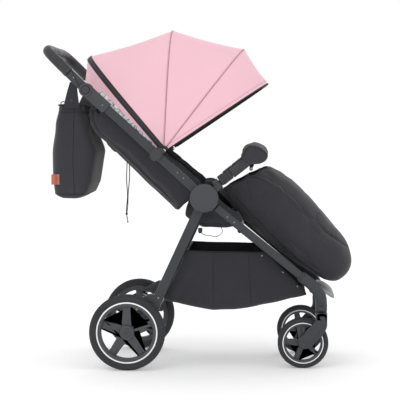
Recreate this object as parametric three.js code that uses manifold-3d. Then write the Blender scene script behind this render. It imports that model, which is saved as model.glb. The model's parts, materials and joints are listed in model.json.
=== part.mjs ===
import * as THREE from "three";
import { mergeVertices } from "three/addons/utils/BufferGeometryUtils.js";
import Module from "manifold-3d";

// Baby stroller with a reclining seat, folding canopy, foot muff, basket, bag and four wheels.
// Millimetres. X runs forward, Z up, and the right-hand side of the stroller is on negative Y.

// Wheels and their places
const REAR_WHEEL_RADIUS = 125;
const REAR_WHEEL_WIDTH = 40;
const REAR_AXLE = [-289, 125];
const REAR_TRACK_HALF = 232;
const FRONT_WHEEL_RADIUS = 84;
const FRONT_WHEEL_WIDTH = 34;
const FRONT_AXLE = [289, 84];
const FRONT_TRACK_HALF = 160;
const AXLE_RADIUS = 5.5;

// Hub joint at each side, where the legs and the upper tube meet
const HUB = [-35, 568];
const HUB_RADIUS = 46.5;
const HUB_FACE_Y = 264;

// Lateral layers, as distances from the middle plane
const TUBE_LAYER = [226, 248];
const REAR_LEG_LAYER = [189, 209];
const CANOPY_HALF_WIDTH = 220;
const SEAT_HALF_WIDTH = 185;

// Upper frame
const TUBE_ANGLE = 137.65;
const HANDLE_PIVOT_DISTANCE = 521;
const TUBE_WIDTH = 28;
const GRIP_RADIUS = 17;

// Canopy: pivot on the clamp, then the bows as [angle above the forward direction, reach]
const CANOPY_PIVOT = [-168, 722];
const REAR_EDGE = [141, 330];
const REAR_BOW = [129.2, 396];
const APEX_BOW = [87.3, 401];
const SECOND_BOW = [52.4, 425];
const FRONT_BOW = [33.8, 406];
const CLOTH = 1.6;

// Swivel of the front forks
const SWIVEL_X = 349;
const SWIVEL_Y = 163;
const KNEE_FOOT_Z = 190;

const BUMPER_ANGLE = 38;
const SUSPENSION_PIVOT = [-212, 150];
const GAP = 0.4;

const wasm = await Module();
wasm.setup();

const stroller = new THREE.Group();
stroller.name = "baby_stroller";

const FRAME_PAINT = new THREE.MeshStandardMaterial({ color: 0x3a3b3f, roughness: 0.55, metalness: 0.2 });
const BLACK_PLASTIC = new THREE.MeshStandardMaterial({ color: 0x2c2d30, roughness: 0.6 });
const GREY_PLASTIC = new THREE.MeshStandardMaterial({ color: 0x6f716f, roughness: 0.6 });
const RUBBER = new THREE.MeshStandardMaterial({ color: 0x3c3d3f, roughness: 0.85 });
const STEEL = new THREE.MeshStandardMaterial({ color: 0xb8bcc0, roughness: 0.3, metalness: 0.9 });
const CHARCOAL_FABRIC = new THREE.MeshStandardMaterial({ color: 0x3a393d, roughness: 0.95 });
const PINK_FABRIC = new THREE.MeshStandardMaterial({ color: 0xefc6d1, roughness: 0.95 });
const LEATHER = new THREE.MeshStandardMaterial({ color: 0x333336, roughness: 0.7 });
const WEBBING = new THREE.MeshStandardMaterial({ color: 0x1d1d20, roughness: 0.9 });

// A geometry as a solid, turned so that its faces point outwards.
function asSolid(geometry) {
  const bare = geometry.index ? geometry.toNonIndexed() : geometry.clone();
  const shape = new THREE.BufferGeometry();
  shape.setAttribute("position", bare.getAttribute("position"));
  const merged = mergeVertices(shape, 1e-3);
  const corners = new Uint32Array(merged.index.array);
  const vertices = merged.attributes.position.array;
  const solid = new wasm.Manifold(new wasm.Mesh({ numProp: 3, vertProperties: vertices, triVerts: corners }));
  if (solid.volume() > 0) {
    return solid;
  }
  for (let i = 0; i < corners.length; i += 3) {
    [corners[i + 1], corners[i + 2]] = [corners[i + 2], corners[i + 1]];
  }
  return new wasm.Manifold(new wasm.Mesh({ numProp: 3, vertProperties: vertices, triVerts: corners }));
}

function asGeometry(solid) {
  const mesh = solid.getMesh();
  const geometry = new THREE.BufferGeometry();
  geometry.setAttribute("position", new THREE.BufferAttribute(mesh.vertProperties, 3));
  geometry.setIndex(new THREE.BufferAttribute(mesh.triVerts, 1));
  return geometry;
}

function join(first, ...others) {
  let solid = asSolid(first);
  for (const other of others) {
    solid = solid.add(asSolid(other));
  }
  return asGeometry(solid);
}

function cut(first, ...tools) {
  let solid = asSolid(first);
  for (const tool of tools) {
    solid = solid.subtract(asSolid(tool));
  }
  return asGeometry(solid);
}

function common(first, second) {
  return asGeometry(asSolid(first).intersect(asSolid(second)));
}

function add(name, geometry, material) {
  const closed = asGeometry(asSolid(geometry));
  closed.computeVertexNormals();
  const mesh = new THREE.Mesh(closed, material);
  mesh.name = name;
  stroller.add(mesh);
}

function mirrored(geometry) {
  const flipped = (geometry.index ? geometry.toNonIndexed() : geometry).clone();
  flipped.scale(1, -1, 1);
  return flipped;
}

// The right-hand piece as given, and its mirror image on the left.
function addPair(name, geometry, material) {
  add(name + "_right", geometry, material);
  add(name + "_left", mirrored(geometry), material);
}

// A flat plate: an outline in the side view, given as [x, z] pairs, between two y values.
function plate(outline, y0, y1) {
  const shape = new THREE.Shape(outline.map(([x, z]) => new THREE.Vector2(x, z)));
  const geometry = new THREE.ExtrudeGeometry(shape, { depth: Math.abs(y1 - y0), bevelEnabled: false });
  geometry.rotateX(Math.PI / 2);
  geometry.translate(0, Math.max(y0, y1), 0);
  return geometry;
}

// A flat plate seen from above: an outline as [x, y] pairs, between two heights.
function slab(outline, z0, z1) {
  const shape = new THREE.Shape(outline.map(([x, y]) => new THREE.Vector2(x, y)));
  const geometry = new THREE.ExtrudeGeometry(shape, { depth: z1 - z0, bevelEnabled: false });
  geometry.translate(0, 0, z0);
  return geometry;
}

// A round bar along Y.
function barY([x, z], radius, y0, y1, sides = 24) {
  const geometry = new THREE.CylinderGeometry(radius, radius, Math.abs(y1 - y0), sides);
  geometry.translate(x, (y0 + y1) / 2, z);
  return geometry;
}

function block(x0, x1, y0, y1, z0, z1) {
  const geometry = new THREE.BoxGeometry(x1 - x0, y1 - y0, z1 - z0);
  geometry.translate((x0 + x1) / 2, (y0 + y1) / 2, (z0 + z1) / 2);
  return geometry;
}

// A straight-sided outline of a bar between two points in the side view.
function barOutline([x0, z0], [x1, z1], width) {
  const length = Math.hypot(x1 - x0, z1 - z0);
  const across = [(-(z1 - z0) / length) * (width / 2), ((x1 - x0) / length) * (width / 2)];
  return [
    [x0 + across[0], z0 + across[1]],
    [x0 - across[0], z0 - across[1]],
    [x1 - across[0], z1 - across[1]],
    [x1 + across[0], z1 + across[1]],
  ];
}

function ovalShape(halfWidth, halfHeight, sides = 12, power = 2.6) {
  const points = [];
  for (let i = 0; i < sides; i++) {
    const angle = (i / sides) * 2 * Math.PI;
    const c = Math.cos(angle);
    const s = Math.sin(angle);
    const x = halfWidth * Math.sign(c) * Math.abs(c) ** (2 / power);
    const y = halfHeight * Math.sign(s) * Math.abs(s) ** (2 / power);
    points.push(new THREE.Vector2(x, y));
  }
  return new THREE.Shape(points);
}

// A bar of the given cross-section along a smooth curve through the points.
function sweep(points, shape, steps, straight = false) {
  const vectors = points.map(([x, y, z]) => new THREE.Vector3(x, y, z));
  let path = new THREE.CatmullRomCurve3(vectors, false, "centripetal");
  if (straight) {
    path = new THREE.LineCurve3(vectors[0], vectors[1]);
  }
  return new THREE.ExtrudeGeometry(shape, { steps, bevelEnabled: false, extrudePath: path });
}

// A skin through rings of points, closed at both ends. Each ring has the same even number of points.
// In a sheet the second half of each ring is the back face, and it is split along the same lines as the front.
function loft(rings, sheet = false) {
  const count = rings[0].length;
  const positions = [];
  const triangle = (a, b, c) => positions.push(...a, ...b, ...c);
  for (let i = 0; i + 1 < rings.length; i++) {
    for (let j = 0; j < count; j++) {
      const k = (j + 1) % count;
      if (sheet && j >= count / 2) {
        triangle(rings[i][j], rings[i + 1][j], rings[i][k]);
        triangle(rings[i + 1][j], rings[i + 1][k], rings[i][k]);
      } else {
        triangle(rings[i][j], rings[i + 1][j], rings[i + 1][k]);
        triangle(rings[i][j], rings[i + 1][k], rings[i][k]);
      }
    }
  }
  const cap = (ring, flip) => {
    for (let j = 0; j < count / 2 - 1; j++) {
      const corners = [ring[j], ring[j + 1], ring[count - 2 - j], ring[count - 1 - j]];
      if (flip) {
        corners.reverse();
      }
      triangle(corners[0], corners[1], corners[2]);
      triangle(corners[0], corners[2], corners[3]);
    }
  };
  cap(rings[0], false);
  cap(rings[rings.length - 1], true);
  const geometry = new THREE.BufferGeometry();
  geometry.setAttribute("position", new THREE.Float32BufferAttribute(positions, 3));
  return geometry;
}

const radians = (degrees) => (degrees * Math.PI) / 180;

// A point given along and across the upper tube: along from the hub, across towards the front.
function onTube(along, across) {
  const c = Math.cos(radians(TUBE_ANGLE));
  const s = Math.sin(radians(TUBE_ANGLE));
  return [HUB[0] + c * along + s * across, HUB[1] + s * along - c * across];
}

const HANDLE_PIVOT = onTube(HANDLE_PIVOT_DISTANCE, 0);

// Wheels

function tyre(radius, width, [x, z], y) {
  const inner = radius * 0.82;
  const profile = [
    [inner, -width * 0.4],
    [radius * 0.9, -width * 0.5],
    [radius * 0.96, -width * 0.42],
    [radius, -width * 0.18],
    [radius, width * 0.18],
    [radius * 0.96, width * 0.42],
    [radius * 0.9, width * 0.5],
    [inner, width * 0.4],
    [inner, -width * 0.4],
  ];
  const geometry = new THREE.LatheGeometry(profile.map(([r, h]) => new THREE.Vector2(r, h)), 32);
  geometry.translate(x, y, z);
  return geometry;
}

// A rim with five spokes that widen towards the middle, a lip at the edge and a domed cap outside.
function rim(radius, width, [x, z], y, firstSpoke) {
  const edge = radius * 0.815;
  const inner = radius * 0.69;
  const half = width * 0.36;
  const lip = new THREE.LatheGeometry(
    [
      [inner, -half],
      [edge, -half - 1.5],
      [edge, half + 1.5],
      [inner, half],
      [inner, -half],
    ].map(([r, h]) => new THREE.Vector2(r, h)),
    32,
  );
  const parts = [];
  for (let i = 0; i < 5; i++) {
    const angle = radians(firstSpoke + 72 * i);
    const along = [Math.cos(angle), Math.sin(angle)];
    const across = [-along[1], along[0]];
    const place = (r, w) => [along[0] * r + across[0] * w, along[1] * r + across[1] * w];
    const wide = radius * 0.145;
    const narrow = radius * 0.095;
    const outline = [
      place(0, -wide),
      place(inner + 2, -narrow),
      place(inner + 2, narrow),
      place(0, wide),
    ];
    parts.push(plate(outline, -half * 0.62, half * 0.62));
  }
  const boss = barY([0, 0], radius * 0.17, -half - 2, half + 2, 20);
  const cap = barY([0, 0], radius * 0.12, -half - 4.5, -half, 20);
  const body = join(lip, ...parts, boss, cap);
  const bored = cut(body, barY([0, 0], AXLE_RADIUS + GAP, -half + 2, half + 10, 16));
  bored.translate(x, y, z);
  return bored;
}

function addWheels() {
  const rearY = -REAR_TRACK_HALF;
  const frontY = -FRONT_TRACK_HALF;
  addPair("rear_tyre", tyre(REAR_WHEEL_RADIUS, REAR_WHEEL_WIDTH, REAR_AXLE, rearY), RUBBER);
  addPair("rear_rim", rim(REAR_WHEEL_RADIUS, REAR_WHEEL_WIDTH, REAR_AXLE, rearY, 90), BLACK_PLASTIC);
  addPair("front_tyre", tyre(FRONT_WHEEL_RADIUS, FRONT_WHEEL_WIDTH, FRONT_AXLE, frontY), RUBBER);
  const frontRim = mirrored(rim(FRONT_WHEEL_RADIUS, FRONT_WHEEL_WIDTH, FRONT_AXLE, FRONT_TRACK_HALF, 32));
  addPair("front_rim", frontRim, BLACK_PLASTIC);
}

// Front legs, knees and forks

const LEG_TOP = [3.6, 536.3];
const LEG_FOOT = [300, 293];

function addFrontLegs() {
  const tubeShape = ovalShape(10, 13.5);
  const tube = sweep([[LEG_TOP[0], -237, LEG_TOP[1]], [LEG_FOOT[0], -187, LEG_FOOT[1]]], tubeShape, 1, true);
  const knee = sweep(
    [
      [284, -189.7, 306],
      [318, -181, 278],
      [344, -171, 244],
      [SWIVEL_X, -SWIVEL_Y, 214],
      [SWIVEL_X, -SWIVEL_Y, KNEE_FOOT_Z],
    ],
    ovalShape(15, 19),
    8,
  );
  addPair("front_leg", join(tube, knee), FRAME_PAINT);
  const crossBar = barY([318, 258], 9, -158, 158, 14);
  add("front_cross_bar", crossBar, FRAME_PAINT);
  const step = plate(
    [
      [331, 246],
      [352, 246],
      [372, 236],
      [390, 222],
      [397, 226],
      [395, 240],
      [380, 256],
      [360, 264],
      [336, 263],
    ],
    -146,
    146,
  );
  const corners = slab(
    [
      [325, -146],
      [365, -146],
      [390, -120],
      [399, -80],
      [399, 80],
      [390, 120],
      [365, 146],
      [325, 146],
    ],
    200,
    290,
  );
  add("foot_plate", common(step, corners), GREY_PLASTIC);
}

function addForks() {
  const [x, z] = FRONT_AXLE;
  const head = new THREE.CylinderGeometry(18, 18, 27, 20);
  head.rotateX(Math.PI / 2);
  head.translate(SWIVEL_X, -SWIVEL_Y, 175.5);
  const shoulder = block(331, 368, -194, -163, 163, 188);
  const outline = [
    [331, 188],
    [368, 188],
    [368, 138],
    [352, 112],
    [316, 72],
    [298, 67],
    [281, 68],
    [271, 82],
    [274, 98],
    [300, 128],
    [331, 162],
  ];
  const arm = plate(outline, -194, -180);
  const axle = barY([x, z], AXLE_RADIUS, -182, -152, 12);
  addPair("front_fork", join(head, shoulder, arm, axle), FRAME_PAINT);
  addPair("swivel_lock", block(341, 357, -185, -178.8, 194, 207), BLACK_PLASTIC);
}

// Hubs, seat cross bar

function addHubs() {
  const [inner, outer] = TUBE_LAYER;
  const cap = join(
    barY(HUB, HUB_RADIUS, -HUB_FACE_Y + 3, -outer - 2, 32),
    barY(HUB, HUB_RADIUS - 6, -HUB_FACE_Y, -outer - 4, 32),
  );
  const back = barY(HUB, 43, -inner + 2, -214, 28);
  const axle = barY(HUB, 9, -outer - 3, -inner + 3, 16);
  const legSocket = plate(barOutline([-7, 545], [1.5, 538], 34), -outer - 3, -inner + 3);
  const c = Math.cos(radians(BUMPER_ANGLE));
  const s = Math.sin(radians(BUMPER_ANGLE));
  const socket = plate(barOutline([-2, 606.5], [-2 + 20 * c, 606.5 + 20 * s], 30), -outer, -inner + 3);
  const bracket = plate([[-10, 600], [8, 586], [24, 608], [10, 622]], -outer - 3, -214);
  const body = join(cap, back, axle, legSocket, socket, bracket);
  const buttonHole = barY([8, 612], 6.6, -270, -243, 14);
  addPair("hub", cut(body, buttonHole), FRAME_PAINT);
  addPair("bumper_button", barY([8, 612], 6, -255, -246, 14), BLACK_PLASTIC);
  add("seat_cross_bar", barY([80, 459], 8, -212, 212, 14), FRAME_PAINT);
}

// Bumper bar

const BUMPER_START = [16.2, 620.7];

function bumperPoint(along) {
  const c = Math.cos(radians(BUMPER_ANGLE));
  const s = Math.sin(radians(BUMPER_ANGLE));
  return [BUMPER_START[0] + c * along, BUMPER_START[1] + s * along];
}

function bumperPath() {
  const side = (sign) => [
    [bumperPoint(46)[0], sign * 235, bumperPoint(46)[1]],
    [bumperPoint(85)[0], sign * 232, bumperPoint(85)[1]],
    [bumperPoint(116)[0], sign * 218, bumperPoint(116)[1]],
    [124, sign * 180, 702],
    [128, sign * 130, 704],
  ];
  return [...side(-1), [130, 0, 705], ...side(1).reverse()];
}

function addBumper() {
  const neck = plate(barOutline(bumperPoint(0.6), bumperPoint(45), 30), -247, -225);
  const ribs = [12, 21, 30, 39].map((a) =>
    plate(barOutline(bumperPoint(a - 3), bumperPoint(a + 3), 36), -250, -222),
  );
  addPair("bumper_arm", join(neck, ...ribs), BLACK_PLASTIC);
  add("bumper_bar", sweep(bumperPath(), ovalShape(13, 18, 12), 30), LEATHER);
  const outline = [
    [90, 694],
    [92, 722],
    [106, 736],
    [132, 736],
    [160, 722],
    [174, 704],
    [172, 688],
    [156, 674],
    [128, 670],
    [102, 678],
  ];
  const channel = sweep(bumperPath(), ovalShape(14.5, 19.5, 12), 30);
  add("bumper_cover", cut(plate(outline, -150, 150), channel), CHARCOAL_FABRIC);
}

// Seat

function addSeat() {
  const outer = SEAT_HALF_WIDTH;
  const back = [
    [28, -96],
    [190, -92],
    [345, -88],
    [410, -88],
    [450, -76],
    [482, -50],
    [492, -26],
    [488, -4],
    [436, 3],
    [398, 28],
    [300, 48],
    [180, 57],
    [60, 66],
    [34, 60],
    [24, 20],
    [20, -40],
  ].map(([along, across]) => onTube(along, across));
  const hollow = [
    [10, -66],
    [190, -64],
    [345, -62],
    [410, -60],
    [450, -40],
    [466, -20],
    [466, 90],
    [10, 100],
  ].map(([along, across]) => onTube(along, across));
  // Seen from the front the back narrows at the top, which keeps it clear of the canopy.
  const frontView = [
    [10, -outer],
    [430, -outer],
    [496, -138],
    [496, 138],
    [430, outer],
    [10, outer],
  ];
  const narrowing = slab(frontView, -200, 200);
  narrowing.rotateY(-radians(TUBE_ANGLE));
  narrowing.translate(HUB[0], 0, HUB[1]);
  const solid = common(plate(back, -outer, outer), narrowing);
  const shell = cut(solid, plate(hollow, -outer + 18, outer - 18));
  add("seat_back", shell, CHARCOAL_FABRIC);
  const base = [
    [-92, 506],
    [-64, 476],
    [-50, 466],
    [40, 468],
    [84, 476],
    [94, 488],
    [52, 530],
    [8, 580],
    [4, 600],
    [-14, 612],
    [-50, 590],
    [-84, 545],
  ];
  const inside = [
    [-72, 534],
    [-56, 504],
    [20, 504],
    [90, 516],
    [90, 640],
    [-20, 660],
  ];
  const pan = cut(plate(base, -160, 160), plate(inside, -144, 144));
  add("seat_base", pan, CHARCOAL_FABRIC);
}

// Foot muff: each station is a lower point, an upper point and a half width.
const MUFF_STATIONS = [
  [[30, 592], [180, 650], 168],
  [[74, 540], [245, 612], 172],
  [[116, 494], [303, 566], 170],
  [[165, 441], [354, 510], 166],
  [[214, 392], [402, 450], 160],
  [[268, 344], [438, 408], 150],
  [[322, 300], [456, 356], 138],
  [[364, 276], [450, 318], 116],
  [[392, 272], [428, 292], 84],
];

function muffRing([low, high, halfWidth], inset) {
  const middle = [(low[0] + high[0]) / 2, (low[1] + high[1]) / 2];
  const reach = [(high[0] - low[0]) / 2, (high[1] - low[1]) / 2];
  const size = Math.hypot(...reach);
  const shrink = (size - inset) / size;
  const ring = [];
  const count = 20;
  for (let i = 0; i < count; i++) {
    const angle = ((i + 0.5) / count) * 2 * Math.PI;
    const c = Math.sign(Math.cos(angle)) * Math.abs(Math.cos(angle)) ** 0.72;
    const s = Math.sign(Math.sin(angle)) * Math.abs(Math.sin(angle)) ** 0.72;
    ring.push([
      middle[0] + reach[0] * shrink * c,
      (halfWidth - inset) * s,
      middle[1] + reach[1] * shrink * c,
    ]);
  }
  return ring;
}

function addFootMuff() {
  const wall = 12;
  const inner = MUFF_STATIONS.slice(0, 8).map((station) => muffRing(station, wall)).reverse();
  const outer = MUFF_STATIONS.map((station) => muffRing(station, 0));
  add("foot_muff", loft([...inner, ...outer]), CHARCOAL_FABRIC);
  const board = plate(barOutline([120, 546], [262, 412], 10), -90, 90);
  add("leg_rest", board, BLACK_PLASTIC);
}

// Basket

function addBasket() {
  const side = [
    [-95, 390],
    [-171, 225],
    [-90, 205],
    [-8, 193],
    [60, 195],
    [130, 203],
    [215, 222],
    [300, 242],
    [296, 256],
    [163, 384],
  ];
  const inside = [
    [-90, 410],
    [-166, 228],
    [-90, 209],
    [-8, 197],
    [60, 199],
    [130, 207],
    [215, 226],
    [292, 246],
    [290, 256],
    [165, 410],
  ];
  const plan = (inset) => [
    [-190, -183 + inset],
    [120, -183 + inset],
    [310, -148 + inset],
    [310, 148 - inset],
    [120, 183 - inset],
    [-190, 183 - inset],
  ];
  const outer = common(plate(side, -190, 190), slab(plan(0), 150, 420));
  const inner = common(plate(inside, -190, 190), slab(plan(3.5), 150, 420));
  add("basket", cut(outer, inner), CHARCOAL_FABRIC);
}

// Rear legs, suspension and brake

function addRearLegs() {
  const [near, far] = REAR_LEG_LAYER;
  const knuckle = barY(HUB, 38, -far, -near, 28);
  const bar = plate(barOutline([-50, 535.5], [-197, 217], 33), -far, -near);
  const bracket = plate(
    [
      [-181, 240],
      [-216, 250],
      [-262, 224],
      [-275, 222],
      [-275, 209],
      [-250, 206],
      [-226, 206],
      [-224, 178],
      [-192, 178],
      [-178, 222],
    ],
    -far,
    -near,
  );
  const lug = plate([[-226, 206], [-224, 142], [-212, 136], [-198, 142], [-190, 200]], -near - 8, -near);
  const pin = barY(SUSPENSION_PIVOT, 5, -far + 1, -near - 7, 12);
  addPair("rear_leg", join(knuckle, bar, bracket, lug, pin), FRAME_PAINT);
  add("rear_cross_bar", barY([-203, 205], 12, -188.5, 188.5, 16), FRAME_PAINT);

  const armOutline = [
    [-200, 152],
    [-204, 140],
    [-214, 138],
    [-284, 110],
    [-302, 118],
    [-302, 136],
    [-290, 145],
    [-264, 145],
    [-222, 162],
    [-206, 162],
  ];
  const arm = plate(armOutline, -207, -198.5);
  const pad = plate([[-292, 140], [-262, 140], [-262, 146], [-292, 146]], -209, -190);
  const stub = barY(REAR_AXLE, 12, -209, -196, 16);
  const axle = barY(REAR_AXLE, AXLE_RADIUS, -236, -196, 12);
  const bored = cut(join(arm, pad, stub, axle), barY(SUSPENSION_PIVOT, 5.5, -215, -180, 12));
  addPair("suspension_arm", bored, FRAME_PAINT);

  const turns = 5;
  const top = [-265, 207];
  const foot = [-276, 147.4];
  const points = [];
  for (let i = 0; i <= turns * 10; i++) {
    const t = i / (turns * 10);
    const angle = t * turns * 2 * Math.PI;
    const wire = 1.4;
    const x = foot[0] + (top[0] - foot[0]) * t;
    const z = foot[1] + wire + (top[1] - foot[1] - 2 * wire) * t;
    points.push([x + 8 * Math.cos(angle), -199 + 8 * Math.sin(angle), z]);
  }
  addPair("suspension_spring", sweep(points, ovalShape(1.2, 1.2, 5, 2), turns * 10), STEEL);

  const sleeve = barY([-203, 205], 16.5, -38, 38, 18);
  const paddle = plate([[-208, 222], [-222, 220], [-258, 196], [-262, 186], [-256, 184], [-212, 200]], -36, 36);
  const pedal = cut(join(sleeve, paddle), barY([-203, 205], 12.6, -60, 60, 18));
  add("brake_pedal", pedal, GREY_PLASTIC);
}

// Upper tubes, canopy clamps, handle

function addUpperFrame() {
  const [inner, outer] = TUBE_LAYER;
  const knuckle = barY(HUB, 30, -outer + 0.8, -inner - 0.8, 28);
  const tube = plate(barOutline(onTube(10, 0), onTube(HANDLE_PIVOT_DISTANCE - 24, 0), TUBE_WIDTH), -outer + 1, -inner - 1);
  addPair("upper_tube", cut(join(knuckle, tube), barY(HUB, 9.5, -270, -200, 16)), FRAME_PAINT);

  const sleeveOutline = barOutline(onTube(HANDLE_PIVOT_DISTANCE - 92, 0), onTube(HANDLE_PIVOT_DISTANCE, 0), 39);
  const sleeve = plate(sleeveOutline, -outer - 5, -inner + 6);
  const disc = barY(HANDLE_PIVOT, 22, -outer - 9, -inner + 8, 28);
  const tubeRoom = plate(
    barOutline(onTube(300, 0), onTube(HANDLE_PIVOT_DISTANCE - 23, 0), TUBE_WIDTH + 0.8),
    -outer + 0.4,
    -inner - 0.4,
  );
  const knuckleRoom = barY(HANDLE_PIVOT, 24, -outer + 0.6, -inner - 0.6, 28);
  const mouth = plate(
    [onTube(HANDLE_PIVOT_DISTANCE, 26), onTube(HANDLE_PIVOT_DISTANCE, -26), onTube(560, -40), onTube(560, 40)],
    -outer + 0.6,
    -inner - 0.6,
  );
  const recess = barY(HANDLE_PIVOT, 13.5, -270, -outer - 2, 24);
  addPair("handle_joint", cut(join(sleeve, disc), tubeRoom, knuckleRoom, mouth, recess), FRAME_PAINT);
  addPair("handle_button", barY(HANDLE_PIVOT, 13, -outer - 12, -outer - 5, 24), BLACK_PLASTIC);

  const clampBody = plate(
    [onTube(190, 33), onTube(190, -34), onTube(232, -34), onTube(232, 18), onTube(214, 33)],
    -outer - 6,
    -inner + 3,
  );
  const clampRoom = plate(barOutline(onTube(150, 0), onTube(260, 0), TUBE_WIDTH + 0.8), -outer + 0.4, -inner - 0.4);
  const pin = barY(CANOPY_PIVOT, 5.5, -inner + 2, -205, 14);
  addPair("canopy_clamp", join(cut(clampBody, clampRoom), pin), BLACK_PLASTIC);
}

const HANDLE_TOP = [-553, 1051];

function handlePath(from) {
  const along = (t) => [
    HANDLE_PIVOT[0] + (HANDLE_TOP[0] - HANDLE_PIVOT[0]) * t,
    HANDLE_PIVOT[1] + (HANDLE_TOP[1] - HANDLE_PIVOT[1]) * t,
  ];
  const side = (sign) => [
    [along(from)[0], sign * 237, along(from)[1]],
    [along(0.62)[0], sign * 237, along(0.62)[1]],
    [along(0.82)[0], sign * 232, along(0.82)[1]],
    [along(0.95)[0], sign * 210, along(0.95)[1]],
    [along(1)[0], sign * 170, along(1)[1]],
  ];
  return [...side(-1), [HANDLE_TOP[0], 0, HANDLE_TOP[1]], ...side(1).reverse()];
}

function addHandle() {
  const [inner, outer] = TUBE_LAYER;
  const barSection = ovalShape(9, 11, 10);
  const bar = sweep(handlePath(0.45), barSection, 26);
  const onArm = (t) => [
    HANDLE_PIVOT[0] + (HANDLE_TOP[0] - HANDLE_PIVOT[0]) * t,
    HANDLE_PIVOT[1] + (HANDLE_TOP[1] - HANDLE_PIVOT[1]) * t,
  ];
  const knuckles = [-1, 1].map((sign) =>
    barY(HANDLE_PIVOT, 19, sign * (outer - 1.2), sign * (inner + 1.2), 24),
  );
  const arms = [-1, 1].map((sign) =>
    plate(barOutline(HANDLE_PIVOT, onArm(0.43), 31), sign * (outer - 1.2), sign * (inner + 1.2)),
  );
  const tongues = [-1, 1].map((sign) =>
    plate(barOutline(onArm(0.4), onArm(0.5), 14), sign * (outer - 5), sign * (inner + 5)),
  );
  add("handle_bar", join(bar, ...knuckles, ...arms, ...tongues), FRAME_PAINT);
  const hole = ovalShape(10.3, 12.3, 10);
  const ring = ovalShape(GRIP_RADIUS - 1, GRIP_RADIUS, 10, 2.2);
  ring.holes.push(new THREE.Path(hole.getPoints()));
  add("handle_grip", sweep(handlePath(0.45), ring, 26), LEATHER);
}

// Canopy

// A point of the canopy surface: angle and reach of the section, place round the arch from -1 to 1.
function canopyPoint([angle, reach], place, inset, shift = 0, foot = 16) {
  const turn = place * (Math.PI / 2) * 0.96;
  const power = 2 / 3.1;
  let side = Math.sign(place) * Math.abs(Math.sin(turn)) ** power * (CANOPY_HALF_WIDTH - inset);
  let height = Math.cos(turn) ** power * (reach - inset);
  if (Math.abs(place) > 0.999) {
    side = Math.sign(place) * (CANOPY_HALF_WIDTH - inset);
    height = foot;
  }
  const c = Math.cos(radians(angle));
  const s = Math.sin(radians(angle));
  return [
    CANOPY_PIVOT[0] + c * height - s * shift,
    side,
    CANOPY_PIVOT[1] + s * height + c * shift,
  ];
}

const ARCH_PLACES = [-1, -0.985, -0.93, -0.84, -0.72, -0.58, -0.42, -0.22, 0, 0.22, 0.42, 0.58, 0.72, 0.84, 0.93, 0.985, 1];

function bow(section, inset, halfWidth, thickness) {
  const rings = ARCH_PLACES.map((place) => [
    canopyPoint(section, place, inset, -halfWidth, 8),
    canopyPoint(section, place, inset, halfWidth, 8),
    canopyPoint(section, place, inset + thickness, halfWidth, 8),
    canopyPoint(section, place, inset + thickness, -halfWidth, 8),
  ]);
  return loft(rings);
}

// Cloth between two bows. It sags a little halfway.
function panel(from, to, start, end, sag) {
  const columns = 4;
  const rings = ARCH_PLACES.map((place) => {
    const outside = [];
    const inside = [];
    for (let i = 0; i <= columns; i++) {
      const t = i / columns;
      const dip = sag * Math.sin(Math.PI * t) * Math.cos((place * Math.PI) / 2);
      const a0 = canopyPoint(from, place, dip, start);
      const b0 = canopyPoint(to, place, dip, -end);
      const a1 = canopyPoint(from, place, dip + CLOTH, start);
      const b1 = canopyPoint(to, place, dip + CLOTH, -end);
      const mix = (a, b) => a.map((value, k) => value + (b[k] - value) * t);
      outside.push(mix(a0, b0));
      inside.unshift(mix(a1, b1));
    }
    return [...outside, ...inside];
  });
  return loft(rings, true);
}

function addCanopy() {
  add("canopy_rear_bow", bow(REAR_BOW, -1.2, 7, 4), BLACK_PLASTIC);
  add("canopy_apex_bow", bow(APEX_BOW, 5, 4.5, 2.6), BLACK_PLASTIC);
  add("canopy_second_bow", bow(SECOND_BOW, 8, 4.5, 2.6), BLACK_PLASTIC);
  add("canopy_front_bow", bow(FRONT_BOW, 11, 4.5, 2.6), BLACK_PLASTIC);
  const edge = 0.3;
  add("canopy_rear_panel", panel(REAR_BOW, REAR_EDGE, 8, -9, 0), PINK_FABRIC);
  add("canopy_back_panel", panel(APEX_BOW, REAR_BOW, edge, 8, 5), PINK_FABRIC);
  add("canopy_front_panel", panel(SECOND_BOW, APEX_BOW, edge, edge, 5), PINK_FABRIC);
  add("canopy_visor", panel(FRONT_BOW, SECOND_BOW, -4, edge, 3), PINK_FABRIC);
}

// Bag

function addBag() {
  const side = [
    [-526, 868],
    [-540, 800],
    [-549, 710],
    [-549, 626],
    [-544, 575],
    [-532, 563],
    [-440, 561],
    [-418, 575],
    [-401, 610],
    [-392, 711],
    [-418, 790],
    [-444, 868],
  ];
  const inside = [
    [-520, 880],
    [-534, 800],
    [-543, 710],
    [-543, 626],
    [-538, 580],
    [-530, 569],
    [-443, 567],
    [-423, 579],
    [-407, 612],
    [-399, 710],
    [-424, 787],
    [-450, 880],
  ];
  const strap = (sign) => {
    const band = loft(
      [
        [868, -478, 26, 168],
        [915, -470, 17, 205],
        [945, -463, 12, 224.5],
      ].map(([z, x, half, y]) => [
        [x - half, sign * (y - 1.5), z],
        [x + half, sign * (y - 1.5), z],
        [x + half, sign * (y + 1.5), z],
        [x - half, sign * (y + 1.5), z],
      ]),
    );
    const patch = block(-504, -452, Math.min(sign * 164, sign * 169.5), Math.max(sign * 164, sign * 169.5), 830, 870);
    return join(band, patch);
  };
  const body = cut(plate(side, -165, 165), plate(inside, -159, 159));
  add("bag", join(body, strap(-1), strap(1)), CHARCOAL_FABRIC);
  add("bag_lid", plate([[-527, 868.6], [-443, 868.6], [-445, 874], [-524, 874]], -164, 164), CHARCOAL_FABRIC);
}

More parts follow.
